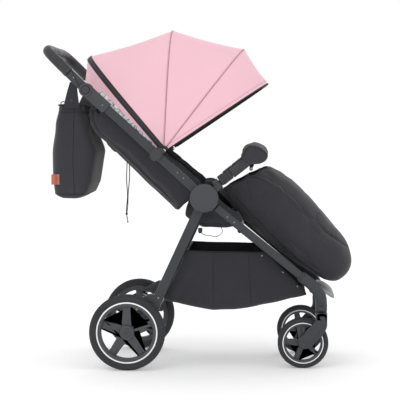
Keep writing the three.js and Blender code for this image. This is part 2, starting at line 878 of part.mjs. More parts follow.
function addCords() {
  const hang = onTube(272, -90);
  const points = [
    [hang[0] - 4, -100, hang[1] - 6],
    [hang[0] - 6, -100, hang[1] - 60],
    [hang[0] - 3, -101, hang[1] - 120],
    [hang[0] - 7, -99, hang[1] - 170],
    [hang[0] - 2, -100, hang[1] - 205],
  ];
  const knot = new THREE.SphereGeometry(4.5, 10, 6);
  knot.translate(hang[0] - 2, -100, hang[1] - 207);
  const anchor = new THREE.SphereGeometry(4, 8, 6);
  anchor.translate(hang[0] - 4, -100, hang[1] - 8);
  add("recline_cord", join(sweep(points, ovalShape(1.8, 1.8, 8, 2), 10), knot, anchor), WEBBING);
  const loop = [
    [-52, -120, 446],
    [-40, -120, 438],
    [-22, -120, 436],
    [-4, -120, 432],
    [12, -120, 438],
    [20, -120, 450],
    [16, -120, 463],
  ];
  const buckle = block(-62, -46, -128, -112, 444, 462);
  add("strap_loop", join(sweep(loop, ovalShape(4, 1.6, 8, 3), 16), buckle), WEBBING);
}

addWheels();
addFrontLegs();
addForks();
addHubs();
addBumper();
addSeat();
addFootMuff();
addBasket();
addRearLegs();
addUpperFrame();
addHandle();
addCanopy();
addBag();
addCords();

// The origin sits at the middle of the footprint, on the floor.
const extent = new THREE.Box3().setFromObject(stroller);
stroller.position.x = -(extent.min.x + extent.max.x) / 2;

export default stroller;
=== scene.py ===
import json
import math

import bmesh
import bpy
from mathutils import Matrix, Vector, noise
from mathutils.bvhtree import BVHTree
from mathutils.kdtree import KDTree


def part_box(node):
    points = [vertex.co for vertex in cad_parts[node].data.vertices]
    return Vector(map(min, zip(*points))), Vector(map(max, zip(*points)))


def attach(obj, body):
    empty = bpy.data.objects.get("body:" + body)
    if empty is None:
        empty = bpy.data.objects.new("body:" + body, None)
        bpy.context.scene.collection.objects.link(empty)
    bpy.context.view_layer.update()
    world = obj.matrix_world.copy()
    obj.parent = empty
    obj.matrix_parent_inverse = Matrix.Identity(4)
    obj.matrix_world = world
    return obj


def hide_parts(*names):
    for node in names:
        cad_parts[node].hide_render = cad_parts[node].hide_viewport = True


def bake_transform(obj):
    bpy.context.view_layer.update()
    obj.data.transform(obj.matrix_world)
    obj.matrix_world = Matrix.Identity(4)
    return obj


# Looks of the baby stroller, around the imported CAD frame.
# Helpers take the CAD source's own millimetres: X forward, Z up, the right-hand side on negative Y.
# at() turns them into the row frame in metres.

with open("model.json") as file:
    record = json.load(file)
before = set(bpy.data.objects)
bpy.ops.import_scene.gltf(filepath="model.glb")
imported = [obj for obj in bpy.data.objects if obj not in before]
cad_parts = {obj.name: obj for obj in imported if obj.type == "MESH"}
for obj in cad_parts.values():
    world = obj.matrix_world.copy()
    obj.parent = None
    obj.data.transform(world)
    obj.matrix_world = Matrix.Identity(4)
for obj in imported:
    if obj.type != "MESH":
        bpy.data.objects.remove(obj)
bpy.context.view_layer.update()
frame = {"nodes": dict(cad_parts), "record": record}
BODY = {node: body for body, nodes in frame["record"]["behaviour"]["bodies"].items() for node in nodes}

SIDES = (-1, 1)

# Wheels
REAR_AXLE = (-289, 125)
REAR_RADIUS, REAR_WIDTH, REAR_TRACK = 125, 40, 232
FRONT_AXLE = (289, 84)
FRONT_RADIUS, FRONT_WIDTH, FRONT_TRACK = 84, 34, 160

# Hub joints and the side layers of the frame
HUB = (-35, 568)
HUB_RADIUS = 46.5
HUB_FACE_Y = 264
TUBE_INNER, TUBE_OUTER = 226, 248
LEG_INNER, LEG_OUTER = 189, 209

# Upper frame and handle
TUBE_ANGLE = math.radians(137.65)
HANDLE_PIVOT_DISTANCE = 521
HANDLE_TOP = (-553, 1051)
GRIP_RADIUS = 17

# Canopy sections: angle above the forward direction, and reach from the pivot
CANOPY_PIVOT = (-168, 722)
CANOPY_HALF_WIDTH = 220
REAR_EDGE, REAR_BOW, APEX_BOW = (142.9, 346), (130.4, 408), (87.3, 401)
SECOND_BOW, FRONT_BOW = (52.4, 425), (33.8, 406)

# Forks, suspension and bumper
SWIVEL_X, SWIVEL_Y = 349, 163
SUSPENSION_PIVOT = (-212, 150)
BUMPER_ANGLE = math.radians(38)
BUMPER_START = (16.2, 620.7)

tyre_low, tyre_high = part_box("rear_tyre_right")
FORWARD = (tyre_low.x + tyre_high.x) / 2 - REAR_AXLE[0] / 1000


def at(x, y, z):
    return Vector((x / 1000 + FORWARD, y / 1000, z / 1000))


def on_tube(along, across):
    """A point on the axes of the upper tube: along it from the hub, and across it to the front."""
    c, s = math.cos(TUBE_ANGLE), math.sin(TUBE_ANGLE)
    return (HUB[0] + c * along + s * across, HUB[1] + s * along - c * across)


HANDLE_PIVOT = on_tube(HANDLE_PIVOT_DISTANCE, 0)


# Camera

def make_camera():
    data = bpy.data.cameras.new("camera")
    data.sensor_width = 36
    data.lens = 127.1
    data.clip_end = 50
    camera = bpy.data.objects.new("camera", data)
    bpy.context.scene.collection.objects.link(camera)
    camera.location = (0.2281, -4.823, 0.817)
    camera.rotation_euler = (math.radians(86.81), 0, math.radians(2.74))
    bpy.context.scene.camera = camera


make_camera()


# Materials

def srgb(*channels):
    """Linear colour of three 0 to 255 display values."""
    def linear(c):
        c = c / 255
        return c / 12.92 if c <= 0.04045 else ((c + 0.055) / 1.055) ** 2.4
    return (*[linear(c) for c in channels], 1)


class Surface:
    """A principled material whose colour, roughness and bump come from patterns in object space."""

    def __init__(self, name, colour, roughness, metallic=0.0, sheen=0.0, specular=0.5):
        self.material = bpy.data.materials.new(name)
        self.material.use_nodes = True
        self.tree = self.material.node_tree
        self.shader = self.tree.nodes["Principled BSDF"]
        self.colour = colour
        self.shader.inputs["Base Color"].default_value = colour
        self.shader.inputs["Roughness"].default_value = roughness
        self.shader.inputs["Metallic"].default_value = metallic
        self.shader.inputs["Specular IOR Level"].default_value = specular
        self.shader.inputs["Sheen Weight"].default_value = sheen
        self.shader.inputs["Sheen Roughness"].default_value = 0.5
        self.place = self.node("ShaderNodeTexCoord").outputs["Object"]
        self.last_colour = None
        self.last_normal = None
        self.roughness = roughness

    def node(self, kind, **values):
        made = self.tree.nodes.new(kind)
        for key, value in values.items():
            setattr(made, key, value)
        return made

    def link(self, a, b):
        self.tree.links.new(a, b)

    def noise(self, scale, detail=3, stretch=None):
        texture = self.node("ShaderNodeTexNoise")
        texture.inputs["Scale"].default_value = scale
        texture.inputs["Detail"].default_value = detail
        self.link(self.stretched(stretch), texture.inputs["Vector"])
        return texture.outputs["Fac"]

    def cells(self, scale):
        texture = self.node("ShaderNodeTexVoronoi", feature="DISTANCE_TO_EDGE")
        texture.inputs["Scale"].default_value = scale
        self.link(self.place, texture.inputs["Vector"])
        return texture.outputs["Distance"]

    def stretched(self, stretch, turn=(0, 0, 0)):
        if stretch is None and turn == (0, 0, 0):
            return self.place
        mapping = self.node("ShaderNodeMapping")
        mapping.inputs["Scale"].default_value = stretch or (1, 1, 1)
        mapping.inputs["Rotation"].default_value = turn
        self.link(self.place, mapping.inputs["Vector"])
        return mapping.outputs["Vector"]

    def threads(self, spacing, turn):
        """Parallel ridges, one per thread, turned about Y."""
        wave = self.node("ShaderNodeTexWave", bands_direction="DIAGONAL")
        wave.inputs["Scale"].default_value = 0.314 / spacing
        wave.inputs["Distortion"].default_value = 0.6
        wave.inputs["Detail"].default_value = 1
        self.link(self.stretched(None, (0, turn, 0)), wave.inputs["Vector"])
        return wave.outputs["Fac"]

    def tint(self, pattern, low, high, start=0.3, end=0.7):
        """Multiplies the colour by low to high as the pattern goes from start to end."""
        spread = self.node("ShaderNodeMapRange")
        spread.inputs["From Min"].default_value = start
        spread.inputs["From Max"].default_value = end
        spread.inputs["To Min"].default_value = low
        spread.inputs["To Max"].default_value = high
        self.link(pattern, spread.inputs["Value"])
        mix = self.node("ShaderNodeMix", data_type="RGBA", blend_type="MULTIPLY")
        mix.inputs["Factor"].default_value = 1
        before = self.last_colour
        if before is None:
            mix.inputs[6].default_value = self.colour
        else:
            self.link(before, mix.inputs[6])
        self.link(spread.outputs["Result"], mix.inputs[7])
        self.last_colour = mix.outputs[2]
        self.link(self.last_colour, self.shader.inputs["Base Color"])
        return self

    def paint(self, pattern, colour, start, end):
        """Goes over to another colour as the pattern goes from start to end."""
        spread = self.node("ShaderNodeMapRange")
        spread.inputs["From Min"].default_value = start
        spread.inputs["From Max"].default_value = end
        self.link(pattern, spread.inputs["Value"])
        mix = self.node("ShaderNodeMix", data_type="RGBA")
        if self.last_colour is None:
            mix.inputs[6].default_value = self.colour
        else:
            self.link(self.last_colour, mix.inputs[6])
        mix.inputs[7].default_value = colour
        self.link(spread.outputs["Result"], mix.inputs["Factor"])
        self.last_colour = mix.outputs[2]
        self.link(self.last_colour, self.shader.inputs["Base Color"])
        return self

    def relief(self, pattern, depth, strength=0.5):
        """Adds a bump of that depth in millimetres."""
        bump = self.node("ShaderNodeBump")
        bump.inputs["Strength"].default_value = strength
        bump.inputs["Distance"].default_value = depth / 1000
        self.link(pattern, bump.inputs["Height"])
        if self.last_normal is not None:
            self.link(self.last_normal, bump.inputs["Normal"])
        self.last_normal = bump.outputs["Normal"]
        self.link(self.last_normal, self.shader.inputs["Normal"])
        return self

    def scuff(self, pattern, spread):
        """Lets the roughness vary by spread either way."""
        reach = self.node("ShaderNodeMapRange")
        reach.inputs["From Min"].default_value = 0.3
        reach.inputs["From Max"].default_value = 0.7
        reach.inputs["To Min"].default_value = max(0.05, self.roughness - spread)
        reach.inputs["To Max"].default_value = min(1, self.roughness + spread)
        self.link(pattern, reach.inputs["Value"])
        self.link(reach.outputs["Result"], self.shader.inputs["Roughness"])
        return self


def powder_coat(name, colour):
    s = Surface(name, colour, 0.42, metallic=0.25)
    s.tint(s.noise(9), 0.93, 1.07).scuff(s.noise(14, 4), 0.07)
    s.relief(s.noise(1600, 2), 0.05, 0.5)
    return s.material


def moulded(name, colour, roughness=0.5):
    s = Surface(name, colour, roughness)
    s.tint(s.noise(7), 0.92, 1.08).scuff(s.noise(18, 4), 0.08)
    s.relief(s.noise(900, 3), 0.08, 0.55)
    return s.material


def rubber(name, colour):
    s = Surface(name, colour, 0.78, specular=0.3)
    s.tint(s.noise(12, 4), 0.9, 1.1).scuff(s.noise(30), 0.08)
    s.relief(s.noise(420, 4), 0.12, 0.6)
    return s.material


def woven(name, colour, thread=1.1, mottle=0.12, sheen=0.15, roughness=0.85, fleck=0.12):
    s = Surface(name, colour, roughness, sheen=sheen, specular=0.25)
    s.tint(s.noise(5, 3), 1 - mottle, 1 + mottle)
    s.tint(s.noise(700, 2), 1 - fleck, 1 + fleck)
    s.tint(s.threads(thread / 1000, 0), 0.94, 1.06, 0, 1)
    s.relief(s.threads(thread / 1000, 0), 0.22, 0.45)
    s.relief(s.threads(thread / 1000, math.pi / 2), 0.22, 0.45)
    s.relief(s.noise(38, 4), 0.5, 0.35)
    return s.material


def leather(name, colour, roughness=0.5):
    s = Surface(name, colour, roughness, specular=0.4)
    s.tint(s.noise(20, 4), 0.9, 1.1).scuff(s.noise(60, 4), 0.1)
    s.tint(s.cells(420), 0.8, 1.05, 0, 0.25)
    s.relief(s.cells(420), 0.08, 0.3)
    return s.material


def patterned_lining(name):
    s = Surface(name, srgb(214, 214, 216), 0.85, sheen=0.1, specular=0.25)
    s.paint(s.cells(60), srgb(120, 120, 126), 0.09, 0.04)
    s.paint(s.noise(45, 2), srgb(238, 238, 240), 0.55, 0.6)
    s.relief(s.threads(0.001, 0), 0.15, 0.4)
    return s.material


def speckled_lining(name):
    s = Surface(name, srgb(92, 84, 90), 0.85, sheen=0.1, specular=0.25)
    s.paint(s.noise(150, 2), srgb(176, 168, 174), 0.53, 0.57)
    s.relief(s.threads(0.001, 0), 0.15, 0.4)
    return s.material


def bright_steel(name):
    s = Surface(name, srgb(196, 200, 205), 0.28, metallic=1.0)
    s.tint(s.noise(60, 3), 0.9, 1.05).scuff(s.noise(90), 0.08)
    return s.material


PAINT = powder_coat("frame_paint", srgb(52, 54, 58))
HUB_SHELL = moulded("hub_shell", srgb(56, 58, 63), 0.5)
BLACK_PLASTIC = moulded("black_plastic", srgb(50, 51, 54))
RIM_PLASTIC = moulded("rim_plastic", srgb(62, 63, 67), 0.45)
GREY_PLASTIC = moulded("grey_plastic", srgb(146, 148, 146))
RUBBER = rubber("tyre_foam", srgb(52, 52, 55))
REFLECTOR = moulded("reflective_ring", srgb(238, 239, 241), 0.35)
STEEL = bright_steel("spring_steel")
RIVET = powder_coat("rivet_zinc", srgb(120, 121, 124))
CHARCOAL = woven("charcoal_fabric", srgb(52, 51, 56))
CHARCOAL_DARK = woven("charcoal_fabric_dark", srgb(34, 34, 37))
BAG_CLOTH = woven("bag_cloth", srgb(53, 52, 57), 1.3)
BASKET_CLOTH = woven("basket_cloth", srgb(48, 47, 52), 0.9)
PINK = woven("pink_fabric", srgb(238, 192, 204), 0.9, 0.02, 0.1, 0.8, 0.025)
LINING = patterned_lining("lining_fabric")
VISOR_LINING = speckled_lining("visor_lining")
ZIP_TAPE = woven("zip_tape", srgb(56, 53, 58), 0.8)
LEATHER = leather("grip_leather", srgb(50, 50, 54))
TAG_LEATHER = leather("tag_leather", srgb(190, 112, 92), 0.55)
WEBBING = woven("webbing", srgb(26, 26, 29), 1.4)
PIPING = woven("seam_piping", srgb(30, 30, 33), 0.8)
PINK_SEAM = woven("pink_seam", srgb(160, 118, 128), 0.8)
THREAD = woven("stitch_thread", srgb(58, 58, 62), 0.5)


# Meshes

def linked(name, data):
    """A new object in the scene."""
    obj = bpy.data.objects.new(name, data)
    bpy.context.scene.collection.objects.link(obj)
    return obj


def from_bmesh(name, bm, material):
    mesh = bpy.data.meshes.new(name)
    bm.to_mesh(mesh)
    bm.free()
    mesh.materials.append(material)
    return linked(name, mesh)


def surface_of(obj):
    """The object's faces, ready for rays and nearest points."""
    return BVHTree.FromObject(obj, bpy.context.evaluated_depsgraph_get())


def signed_power(value, power):
    return math.copysign(abs(value) ** power, value)


def shade(obj, sharp=38):
    """Smooth faces, with edges sharper than that many degrees kept crisp."""
    mesh = obj.data
    bm = bmesh.new()
    bm.from_mesh(mesh)
    bmesh.ops.recalc_face_normals(bm, faces=bm.faces)
    limit = math.radians(sharp)
    for face in bm.faces:
        face.smooth = True
    for edge in bm.edges:
        edge.smooth = not (len(edge.link_faces) == 2 and edge.calc_face_angle() > limit)
    bm.to_mesh(mesh)
    bm.free()
    return obj


def piece(name, points, faces, material, sharp=38):
    """A mesh object from points in the row frame."""
    mesh = bpy.data.meshes.new(name)
    mesh.from_pydata(points, [], faces)
    mesh.materials.append(material)
    return shade(linked(name, mesh), sharp)


def skin(rings, closed_ring=True, closed_loft=False, caps=True):
    """Faces over rings that all have the same number of points."""
    count = len(rings[0])
    points = [p for ring in rings for p in ring]
    faces = []
    for i in range(len(rings) if closed_loft else len(rings) - 1):
        a, b = i * count, (i + 1) % len(rings) * count
        for k in range(count if closed_ring else count - 1):
            n = (k + 1) % count
            faces.append((a + k, a + n, b + n, b + k))
    if caps and closed_ring and not closed_loft:
        faces.append(tuple(range(count)))
        faces.append(tuple(range(len(points) - count, len(points))))
    return points, faces


def lathe(name, profile, centre, y, material, segments=96, sharp=38):
    """A closed profile of (radius, offset along Y) turned about the Y axis."""
    rings = []
    for i in range(segments):
        a = 2 * math.pi * i / segments
        rings.append([at(centre[0] + r * math.cos(a), y + h, centre[1] + r * math.sin(a))
                      for r, h in profile])
    return piece(name, *skin(rings, True, True), material, sharp)


def disc(name, centre, radius, y0, y1, bevel, material, segments=64, axis_hole=0.0):
    """A round plate about the Y axis with rounded edges."""
    low, high = min(y0, y1), max(y0, y1)
    inner = max(axis_hole, 0.01)
    profile = [(inner, low)]
    for a in (0, 30, 60, 90):
        r = math.radians(a)
        profile.append((radius - bevel + bevel * math.sin(r), low + bevel - bevel * math.cos(r)))
    for a in (90, 60, 30, 0):
        r = math.radians(a)
        profile.append((radius - bevel + bevel * math.sin(r), high - bevel + bevel * math.cos(r)))
    profile.append((inner, high))
    return lathe(name, profile, centre, 0, material, segments)


def rounded(outline, radius, steps=5):
    """The outline with each corner turned into a small curve."""
    made = []
    count = len(outline)
    for i in range(count):
        before, corner = Vector(outline[i - 1]), Vector(outline[i])
        after = Vector(outline[(i + 1) % count])
        a, b = before - corner, after - corner
        reach = min(radius, a.length * 0.46, b.length * 0.46)
        start, end = corner + a.normalized() * reach, corner + b.normalized() * reach
        for k in range(steps + 1):
            t = k / steps
            made.append(start * (1 - t) ** 2 + corner * 2 * t * (1 - t) + end * t * t)
    return made


def plate(name, outline, y0, y1, material, bevel=2.0, corner=0.0, segments=3):
    """An outline in the XZ plane, extruded from y0 to y1, with its two rims rounded."""
    if corner:
        outline = rounded(outline, corner)
    bm = bmesh.new()
    face = bm.faces.new([bm.verts.new(at(x, y0, z)) for x, z in outline])
    grown = bmesh.ops.extrude_face_region(bm, geom=[face])["geom"]
    for v in grown:
        if isinstance(v, bmesh.types.BMVert):
            v.co.y = y1 / 1000
    bmesh.ops.recalc_face_normals(bm, faces=bm.faces)
    rims = [e for e in bm.edges if abs(e.verts[0].co.y - e.verts[1].co.y) < 1e-7]
    bmesh.ops.bevel(bm, geom=rims, offset=bevel / 1000, segments=segments, profile=0.5, affect="EDGES")
    return shade(from_bmesh(name, bm, material))


def bar(start, end, width):
    """Outline of a straight bar between two points of the XZ plane."""
    a, b = Vector(start), Vector(end)
    d = (b - a).normalized()
    n = Vector((-d.y, d.x)) * width / 2
    return [tuple(a - n), tuple(b - n), tuple(b + n), tuple(a + n)]


def spline(points, step=6.0):
    """Evenly spaced points on a smooth line through the given ones."""
    knots = [Vector(p) for p in points]
    ends = [2 * knots[0] - knots[1], *knots, 2 * knots[-1] - knots[-2]]
    fine = []
    for i in range(len(knots) - 1):
        p = ends[i : i + 4]
        t = [0.0]
        for a, b in zip(p, p[1:]):
            t.append(t[-1] + max((b - a).length, 1e-6) ** 0.5)
        for k in range(24):
            u = t[1] + (t[2] - t[1]) * k / 24
            a1 = p[0].lerp(p[1], (u - t[0]) / (t[1] - t[0]))
            a2 = p[1].lerp(p[2], (u - t[1]) / (t[2] - t[1]))
            a3 = p[2].lerp(p[3], (u - t[2]) / (t[3] - t[2]))
            b1 = a1.lerp(a2, (u - t[0]) / (t[2] - t[0]))
            b2 = a2.lerp(a3, (u - t[1]) / (t[3] - t[1]))
            fine.append(b1.lerp(b2, (u - t[1]) / (t[2] - t[1])))
    fine.append(knots[-1])
    lengths = [0.0]
    for a, b in zip(fine, fine[1:]):
        lengths.append(lengths[-1] + (b - a).length)
    count = max(2, round(lengths[-1] / step))
    even, j = [], 0
    for i in range(count + 1):
        want = lengths[-1] * i / count
        while j < len(fine) - 2 and lengths[j + 1] < want:
            j += 1
        share = (want - lengths[j]) / max(lengths[j + 1] - lengths[j], 1e-9)
        even.append(fine[j].lerp(fine[j + 1], share))
    return even


def round_angles(count):
    """Equal steps round a full turn, with the first angle again at the end."""
    return [k / count * 2 * math.pi for k in range(count + 1)]


def oval(half_side, half_up, power=2.0, count=28):
    """Points of a rounded section. Power 2 is an ellipse, and more is squarer."""
    section = []
    for i in range(count):
        a = 2 * math.pi * i / count
        c, s = math.cos(a), math.sin(a)
        section.append((signed_power(c, 2 / power) * half_side, signed_power(s, 2 / power) * half_up))
    return section


def path_frames(path, side):
    """Each point of a path with its number and the two directions across the path."""
    side = Vector(side)
    for i, p in enumerate(path):
        tangent = path[min(i + 1, len(path) - 1)] - path[max(i - 1, 0)]
        if tangent.length < 1e-7:
            continue
        tangent.normalize()
        side = (side - tangent * side.dot(tangent)).normalized()
        yield i, p, side, tangent.cross(side)


def sweep_rings(path, section, side=(0, 1, 0)):
    """Rings of the section along a path in millimetres. Its first direction starts along side."""
    rings = []
    for i, p, side, up in path_frames(path, side):
        shape = section(i / (len(path) - 1)) if callable(section) else section
        rings.append([at(*(p + side * u + up * v)) for u, v in shape])
    return rings


def tube(name, points, section, material, side=(0, 1, 0), step=6.0, straight=False, sharp=38):
    path = [Vector(p) for p in points] if straight else spline(points, step)
    return piece(name, *skin(sweep_rings(path, section, side)), material, sharp)


def rod(name, centre, radius, y0, y1, material, bevel=1.0, segments=40):
    return disc(name, centre, radius, y0, y1, min(bevel, abs(y1 - y0) / 2.2), material, segments)


def baked(obj):
    """Applies the object's modifiers to its mesh."""
    graph = bpy.context.evaluated_depsgraph_get()
    made = bpy.data.meshes.new_from_object(obj.evaluated_get(graph))
    old = obj.data
    obj.modifiers.clear()
    obj.data = made
    bpy.data.meshes.remove(old)
    return obj


def joined(name, *objects):
    """One object from several, keeping their materials."""
    bpy.ops.object.select_all(action="DESELECT")
    for o in objects:
        o.select_set(True)
    bpy.context.view_layer.objects.active = objects[0]
    bpy.ops.object.join()
    objects[0].name = name
    objects[0].data.name = name
    return objects[0]


def stands_for(obj, slot, *nodes):
    """The piece rides on the body of the nodes that it replaces."""
    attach(obj, BODY[nodes[0]])
    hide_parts(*nodes)
    return obj


def mirrored(obj, name):
    """A copy on the other side of the middle plane."""
    other = obj.copy()
    other.data = obj.data.copy()
    other.name = name
    bpy.context.scene.collection.objects.link(other)
    for v in other.data.vertices:
        v.co.y = -v.co.y
    other.data.flip_normals()
    return other


def pair(make, slot, *stems):
    """Makes the right-hand piece, mirrors it, and lets each stand for its side's CAD nodes."""
    right = make()
    stem = right.name
    right.name = stem + "_right"
    left = mirrored(right, stem + "_left")
    stands_for(right, slot, *[s + "_right" for s in stems])
    stands_for(left, slot, *[s + "_left" for s in stems])


# Cords come first: their route is the CAD source's own.

def cord_curve(name, points, diameter, material):
    data = bpy.data.curves.new(name, "CURVE")
    data.dimensions = "3D"
    data.bevel_depth = diameter / 2
    data.bevel_resolution = 4
    line = data.splines.new("POLY")
    line.points.add(len(points) - 1)
    for target, p in zip(line.points, points):
        target.co = (*at(*p), 1)
    data.materials.append(material)
    return linked(name, data)


CORD_EXIT = on_tube(272, -90)
CORD_DIAMETER = 0.003


def make_recline_cords():
    x, z = CORD_EXIT
    front = spline([(x - 4, -100, z - 6), (x - 6, -100, z - 60), (x - 3, -101, z - 120),
                    (x - 7, -99, z - 170), (x - 2, -100, z - 205)], 8)
    back = spline([(x + 3, -97, z - 6), (x + 4, -97, z - 50), (x - 1, -96.5, z - 110),
                   (x - 2.5, -96.2, z - 150), (x - 6, -97, z - 178)], 8)
    knot = lumpy_knot("recline_knot", (x - 6, -98.5, z - 178), 3.8)
    end = lumpy_knot("recline_cord_end", (x - 2, -100, z - 206), 2.4)
    for obj in (knot, end):
        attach(obj, "seat_back")
    first = cord_curve("recline_cord_front", front, CORD_DIAMETER, WEBBING)
    stands_for(first, "webbing", "recline_cord")
    tuple(at(*front[0]))
    second = cord_curve("recline_cord_back", back, CORD_DIAMETER, WEBBING)
    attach(second, "seat_back")
    tuple(at(*back[0]))


def lumpy_knot(name, centre, radius):
    bm = bmesh.new()
    bmesh.ops.create_icosphere(bm, subdivisions=3, radius=radius / 1000)
    for v in bm.verts:
        swell = 1 + 0.18 * math.sin(v.co.z * 2600 + v.co.x * 1500)
        v.co = Vector((v.co.x * swell, v.co.y * swell, v.co.z * 1.25)) + at(*centre)
    return shade(from_bmesh(name, bm, WEBBING), 80)


def make_strap_loop():
    route = [(-52, -120, 446), (-40, -120, 438), (-22, -120, 436), (-4, -120, 432),
             (12, -120, 438), (20, -120, 450), (16, -120, 463)]
    path = spline(route, 3)
    strap = piece("strap_webbing", *skin(sweep_rings(path, oval(4, 1, 3.5, 16))), WEBBING)
    buckle = joined(
        "strap_buckle",
        plate("buckle_body", bar((-54, 446), (-54, 461), 14), -128, -112, BLACK_PLASTIC, 1.6, 3),
        plate("buckle_ladder", bar((-54, 443.5), (-54, 447), 10), -126, -114, BLACK_PLASTIC, 1, 1.2),
    )
    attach(buckle, "front_frame")
    stands_for(strap, "webbing", "strap_loop")
    tuple(at(*path[0]))
    [tuple(at(*p)) for p in path]


make_recline_cords()
make_strap_loop()


# Wheels

def make_tyre(name, radius, width, axle, y):
    """A foam tyre with rounded shoulders and three shallow grooves."""
    inner, half = radius * 0.82, width / 2
    groove_floor = radius - 1.3
    profile = [(inner, -half * 0.8), (radius * 0.855, -half * 0.93), (radius * 0.9, -half),
               (radius * 0.935, -half * 0.97),
               (radius * 0.965, -half * 0.82), (radius * 0.985, -half * 0.62),
               (radius * 0.993, -half * 0.5)]
    for groove in (-0.34, 0.0, 0.34):
        profile += [(radius, half * (groove - 0.1)), (radius, half * (groove - 0.045)),
                    (groove_floor, half * (groove - 0.03)),
                    (groove_floor, half * (groove + 0.03)), (radius, half * (groove + 0.045)),
                    (radius, half * (groove + 0.1))]
    profile += [(radius * 0.993, half * 0.5), (radius * 0.985, half * 0.62),
                (radius * 0.965, half * 0.82),
                (radius * 0.935, half * 0.97), (radius * 0.9, half), (radius * 0.855, half * 0.93),
                (inner, half * 0.8)]
    return lathe(name, profile, axle, y, RUBBER, 128, 50)


def star_outline(radius, centre, first):
    """Five spokes that widen into the middle, with curved valleys between them."""
    outline = []
    edge = radius * 0.705
    for i in range(5):
        a = math.radians(first + 72 * i)
        along, across = Vector((math.cos(a), math.sin(a))), Vector((-math.sin(a), math.cos(a)))
        for r, w in ((0.27, -0.135), (0.45, -0.118), (0.6, -0.103), (0.66, -0.108),
                     (edge / radius, -0.15),
                     (edge / radius, 0.15), (0.66, 0.108), (0.6, 0.103), (0.45, 0.118), (0.27, 0.135)):
            p = along * r * radius + across * w * radius
            outline.append((centre[0] + p.x, centre[1] + p.y))
        b = math.radians(first + 72 * i + 36)
        outline.append((centre[0] + radius * 0.215 * math.cos(b),
                        centre[1] + radius * 0.215 * math.sin(b)))
    return outline


def make_rim(name, radius, width, axle, y, first, both_faces):
    """Rim lip, reflective ring, ribbed spokes, boss, cap and pin. Outward is negative Y."""
    half = width * 0.36
    edge, inner = radius * 0.817, radius * 0.69
    lip = lathe("lip", [
        (inner, -half + 1), (inner + 1.2, -half - 0.4), (inner + 2.5, -half - 0.9),
        (radius * 0.765, -half - 1.4),
        (radius * 0.768, -half - 2.3), (edge, -half - 2.2), (edge, half + 2.2),
        (radius * 0.768, half + 2.3),
        (radius * 0.765, half + 1.4), (inner + 2.5, half + 0.9), (inner + 1.2, half + 0.4),
        (inner, half - 1),
        (inner + 2.2, 0),
    ], axle, y, RIM_PLASTIC, 128, 50)
    parts = [lip]
    for face in (-1, 1) if both_faces else (-1,):
        h = face * (half + 2.2)
        ring = [(radius * 0.772, h), (radius * 0.775, h + face * 0.9), (radius * 0.806, h + face * 0.9),
                (radius * 0.809, h)]
        parts.append(lathe("ring", ring, axle, y, REFLECTOR, 128, 60))
    parts.append(plate("star", rounded(star_outline(radius, axle, first), 3.5, 3), y - half * 0.62,
                       y + half * 0.62,
                       RIM_PLASTIC, 1.8))
    for i in range(5):
        a = math.radians(first + 72 * i)
        way = Vector((math.cos(a), math.sin(a)))
        foot, top = Vector(axle) + way * radius * 0.2, Vector(axle) + way * radius * 0.66
        rib = bar(tuple(foot), tuple(top), radius * 0.075)
        parts.append(plate("rib", rib, y - half * 0.62 - 1.6, y + half * 0.62 + 1.6, RIM_PLASTIC, 1.4,
                           3))
    parts.append(disc("boss", axle, radius * 0.19, y - half - 1.5, y + half + 1.5, 2, RIM_PLASTIC, 64))
    parts.append(disc("cap", axle, radius * 0.125, y - half - 4.2, y - half - 1, 1.4, HUB_SHELL, 48))
    parts.append(disc("pin", axle, radius * 0.045, y - half - 4.9, y - half - 4, 0.5, BLACK_PLASTIC, 32))
    return joined(name, *parts)


def make_wheels():
    pair(lambda: make_tyre("wheel_tyre_rear", REAR_RADIUS, REAR_WIDTH, REAR_AXLE, -REAR_TRACK),
         "tyre_foam", "rear_tyre")
    pair(lambda: make_rim("wheel_rim_rear", REAR_RADIUS, REAR_WIDTH, REAR_AXLE, -REAR_TRACK, 90, False),
         "black_plastic", "rear_rim")
    pair(lambda: make_tyre("wheel_tyre_front", FRONT_RADIUS, FRONT_WIDTH, FRONT_AXLE, -FRONT_TRACK),
         "tyre_foam", "front_tyre")
    pair(lambda: make_rim("wheel_rim_front", FRONT_RADIUS, FRONT_WIDTH, FRONT_AXLE, -FRONT_TRACK, 32,
                          True),
         "black_plastic", "front_rim")


make_wheels()


# Front legs, forks and foot plate

def rivet(centre, y, radius=3.0):
    return disc("rivet", centre, radius, y - 1.2, y + 1.5, 0.8, RIVET, 24)


def make_front_leg():
    leg = tube("front_leg_tube", [(3.6, -237, 536.3), (300, -187, 293)], oval(10, 13.5, 2.8), PAINT,
               straight=True)
    knee = tube("front_knee",
                [(284, -189.7, 306), (318, -181, 278), (344, -171, 244), (SWIVEL_X, -SWIVEL_Y, 214),
                 (SWIVEL_X, -SWIVEL_Y, 190)],
                oval(15, 19, 2.7), PAINT, step=3)
    collar = tube("knee_collar", [(279, -190.5, 310), (291, -188.5, 300.4)], oval(13, 16.5, 2.7),
                  BLACK_PLASTIC, straight=True)
    return joined("front_leg_shell", leg, knee, collar, rivet((40, 506), -241.5),
                  rivet((62, 488.5), -238))


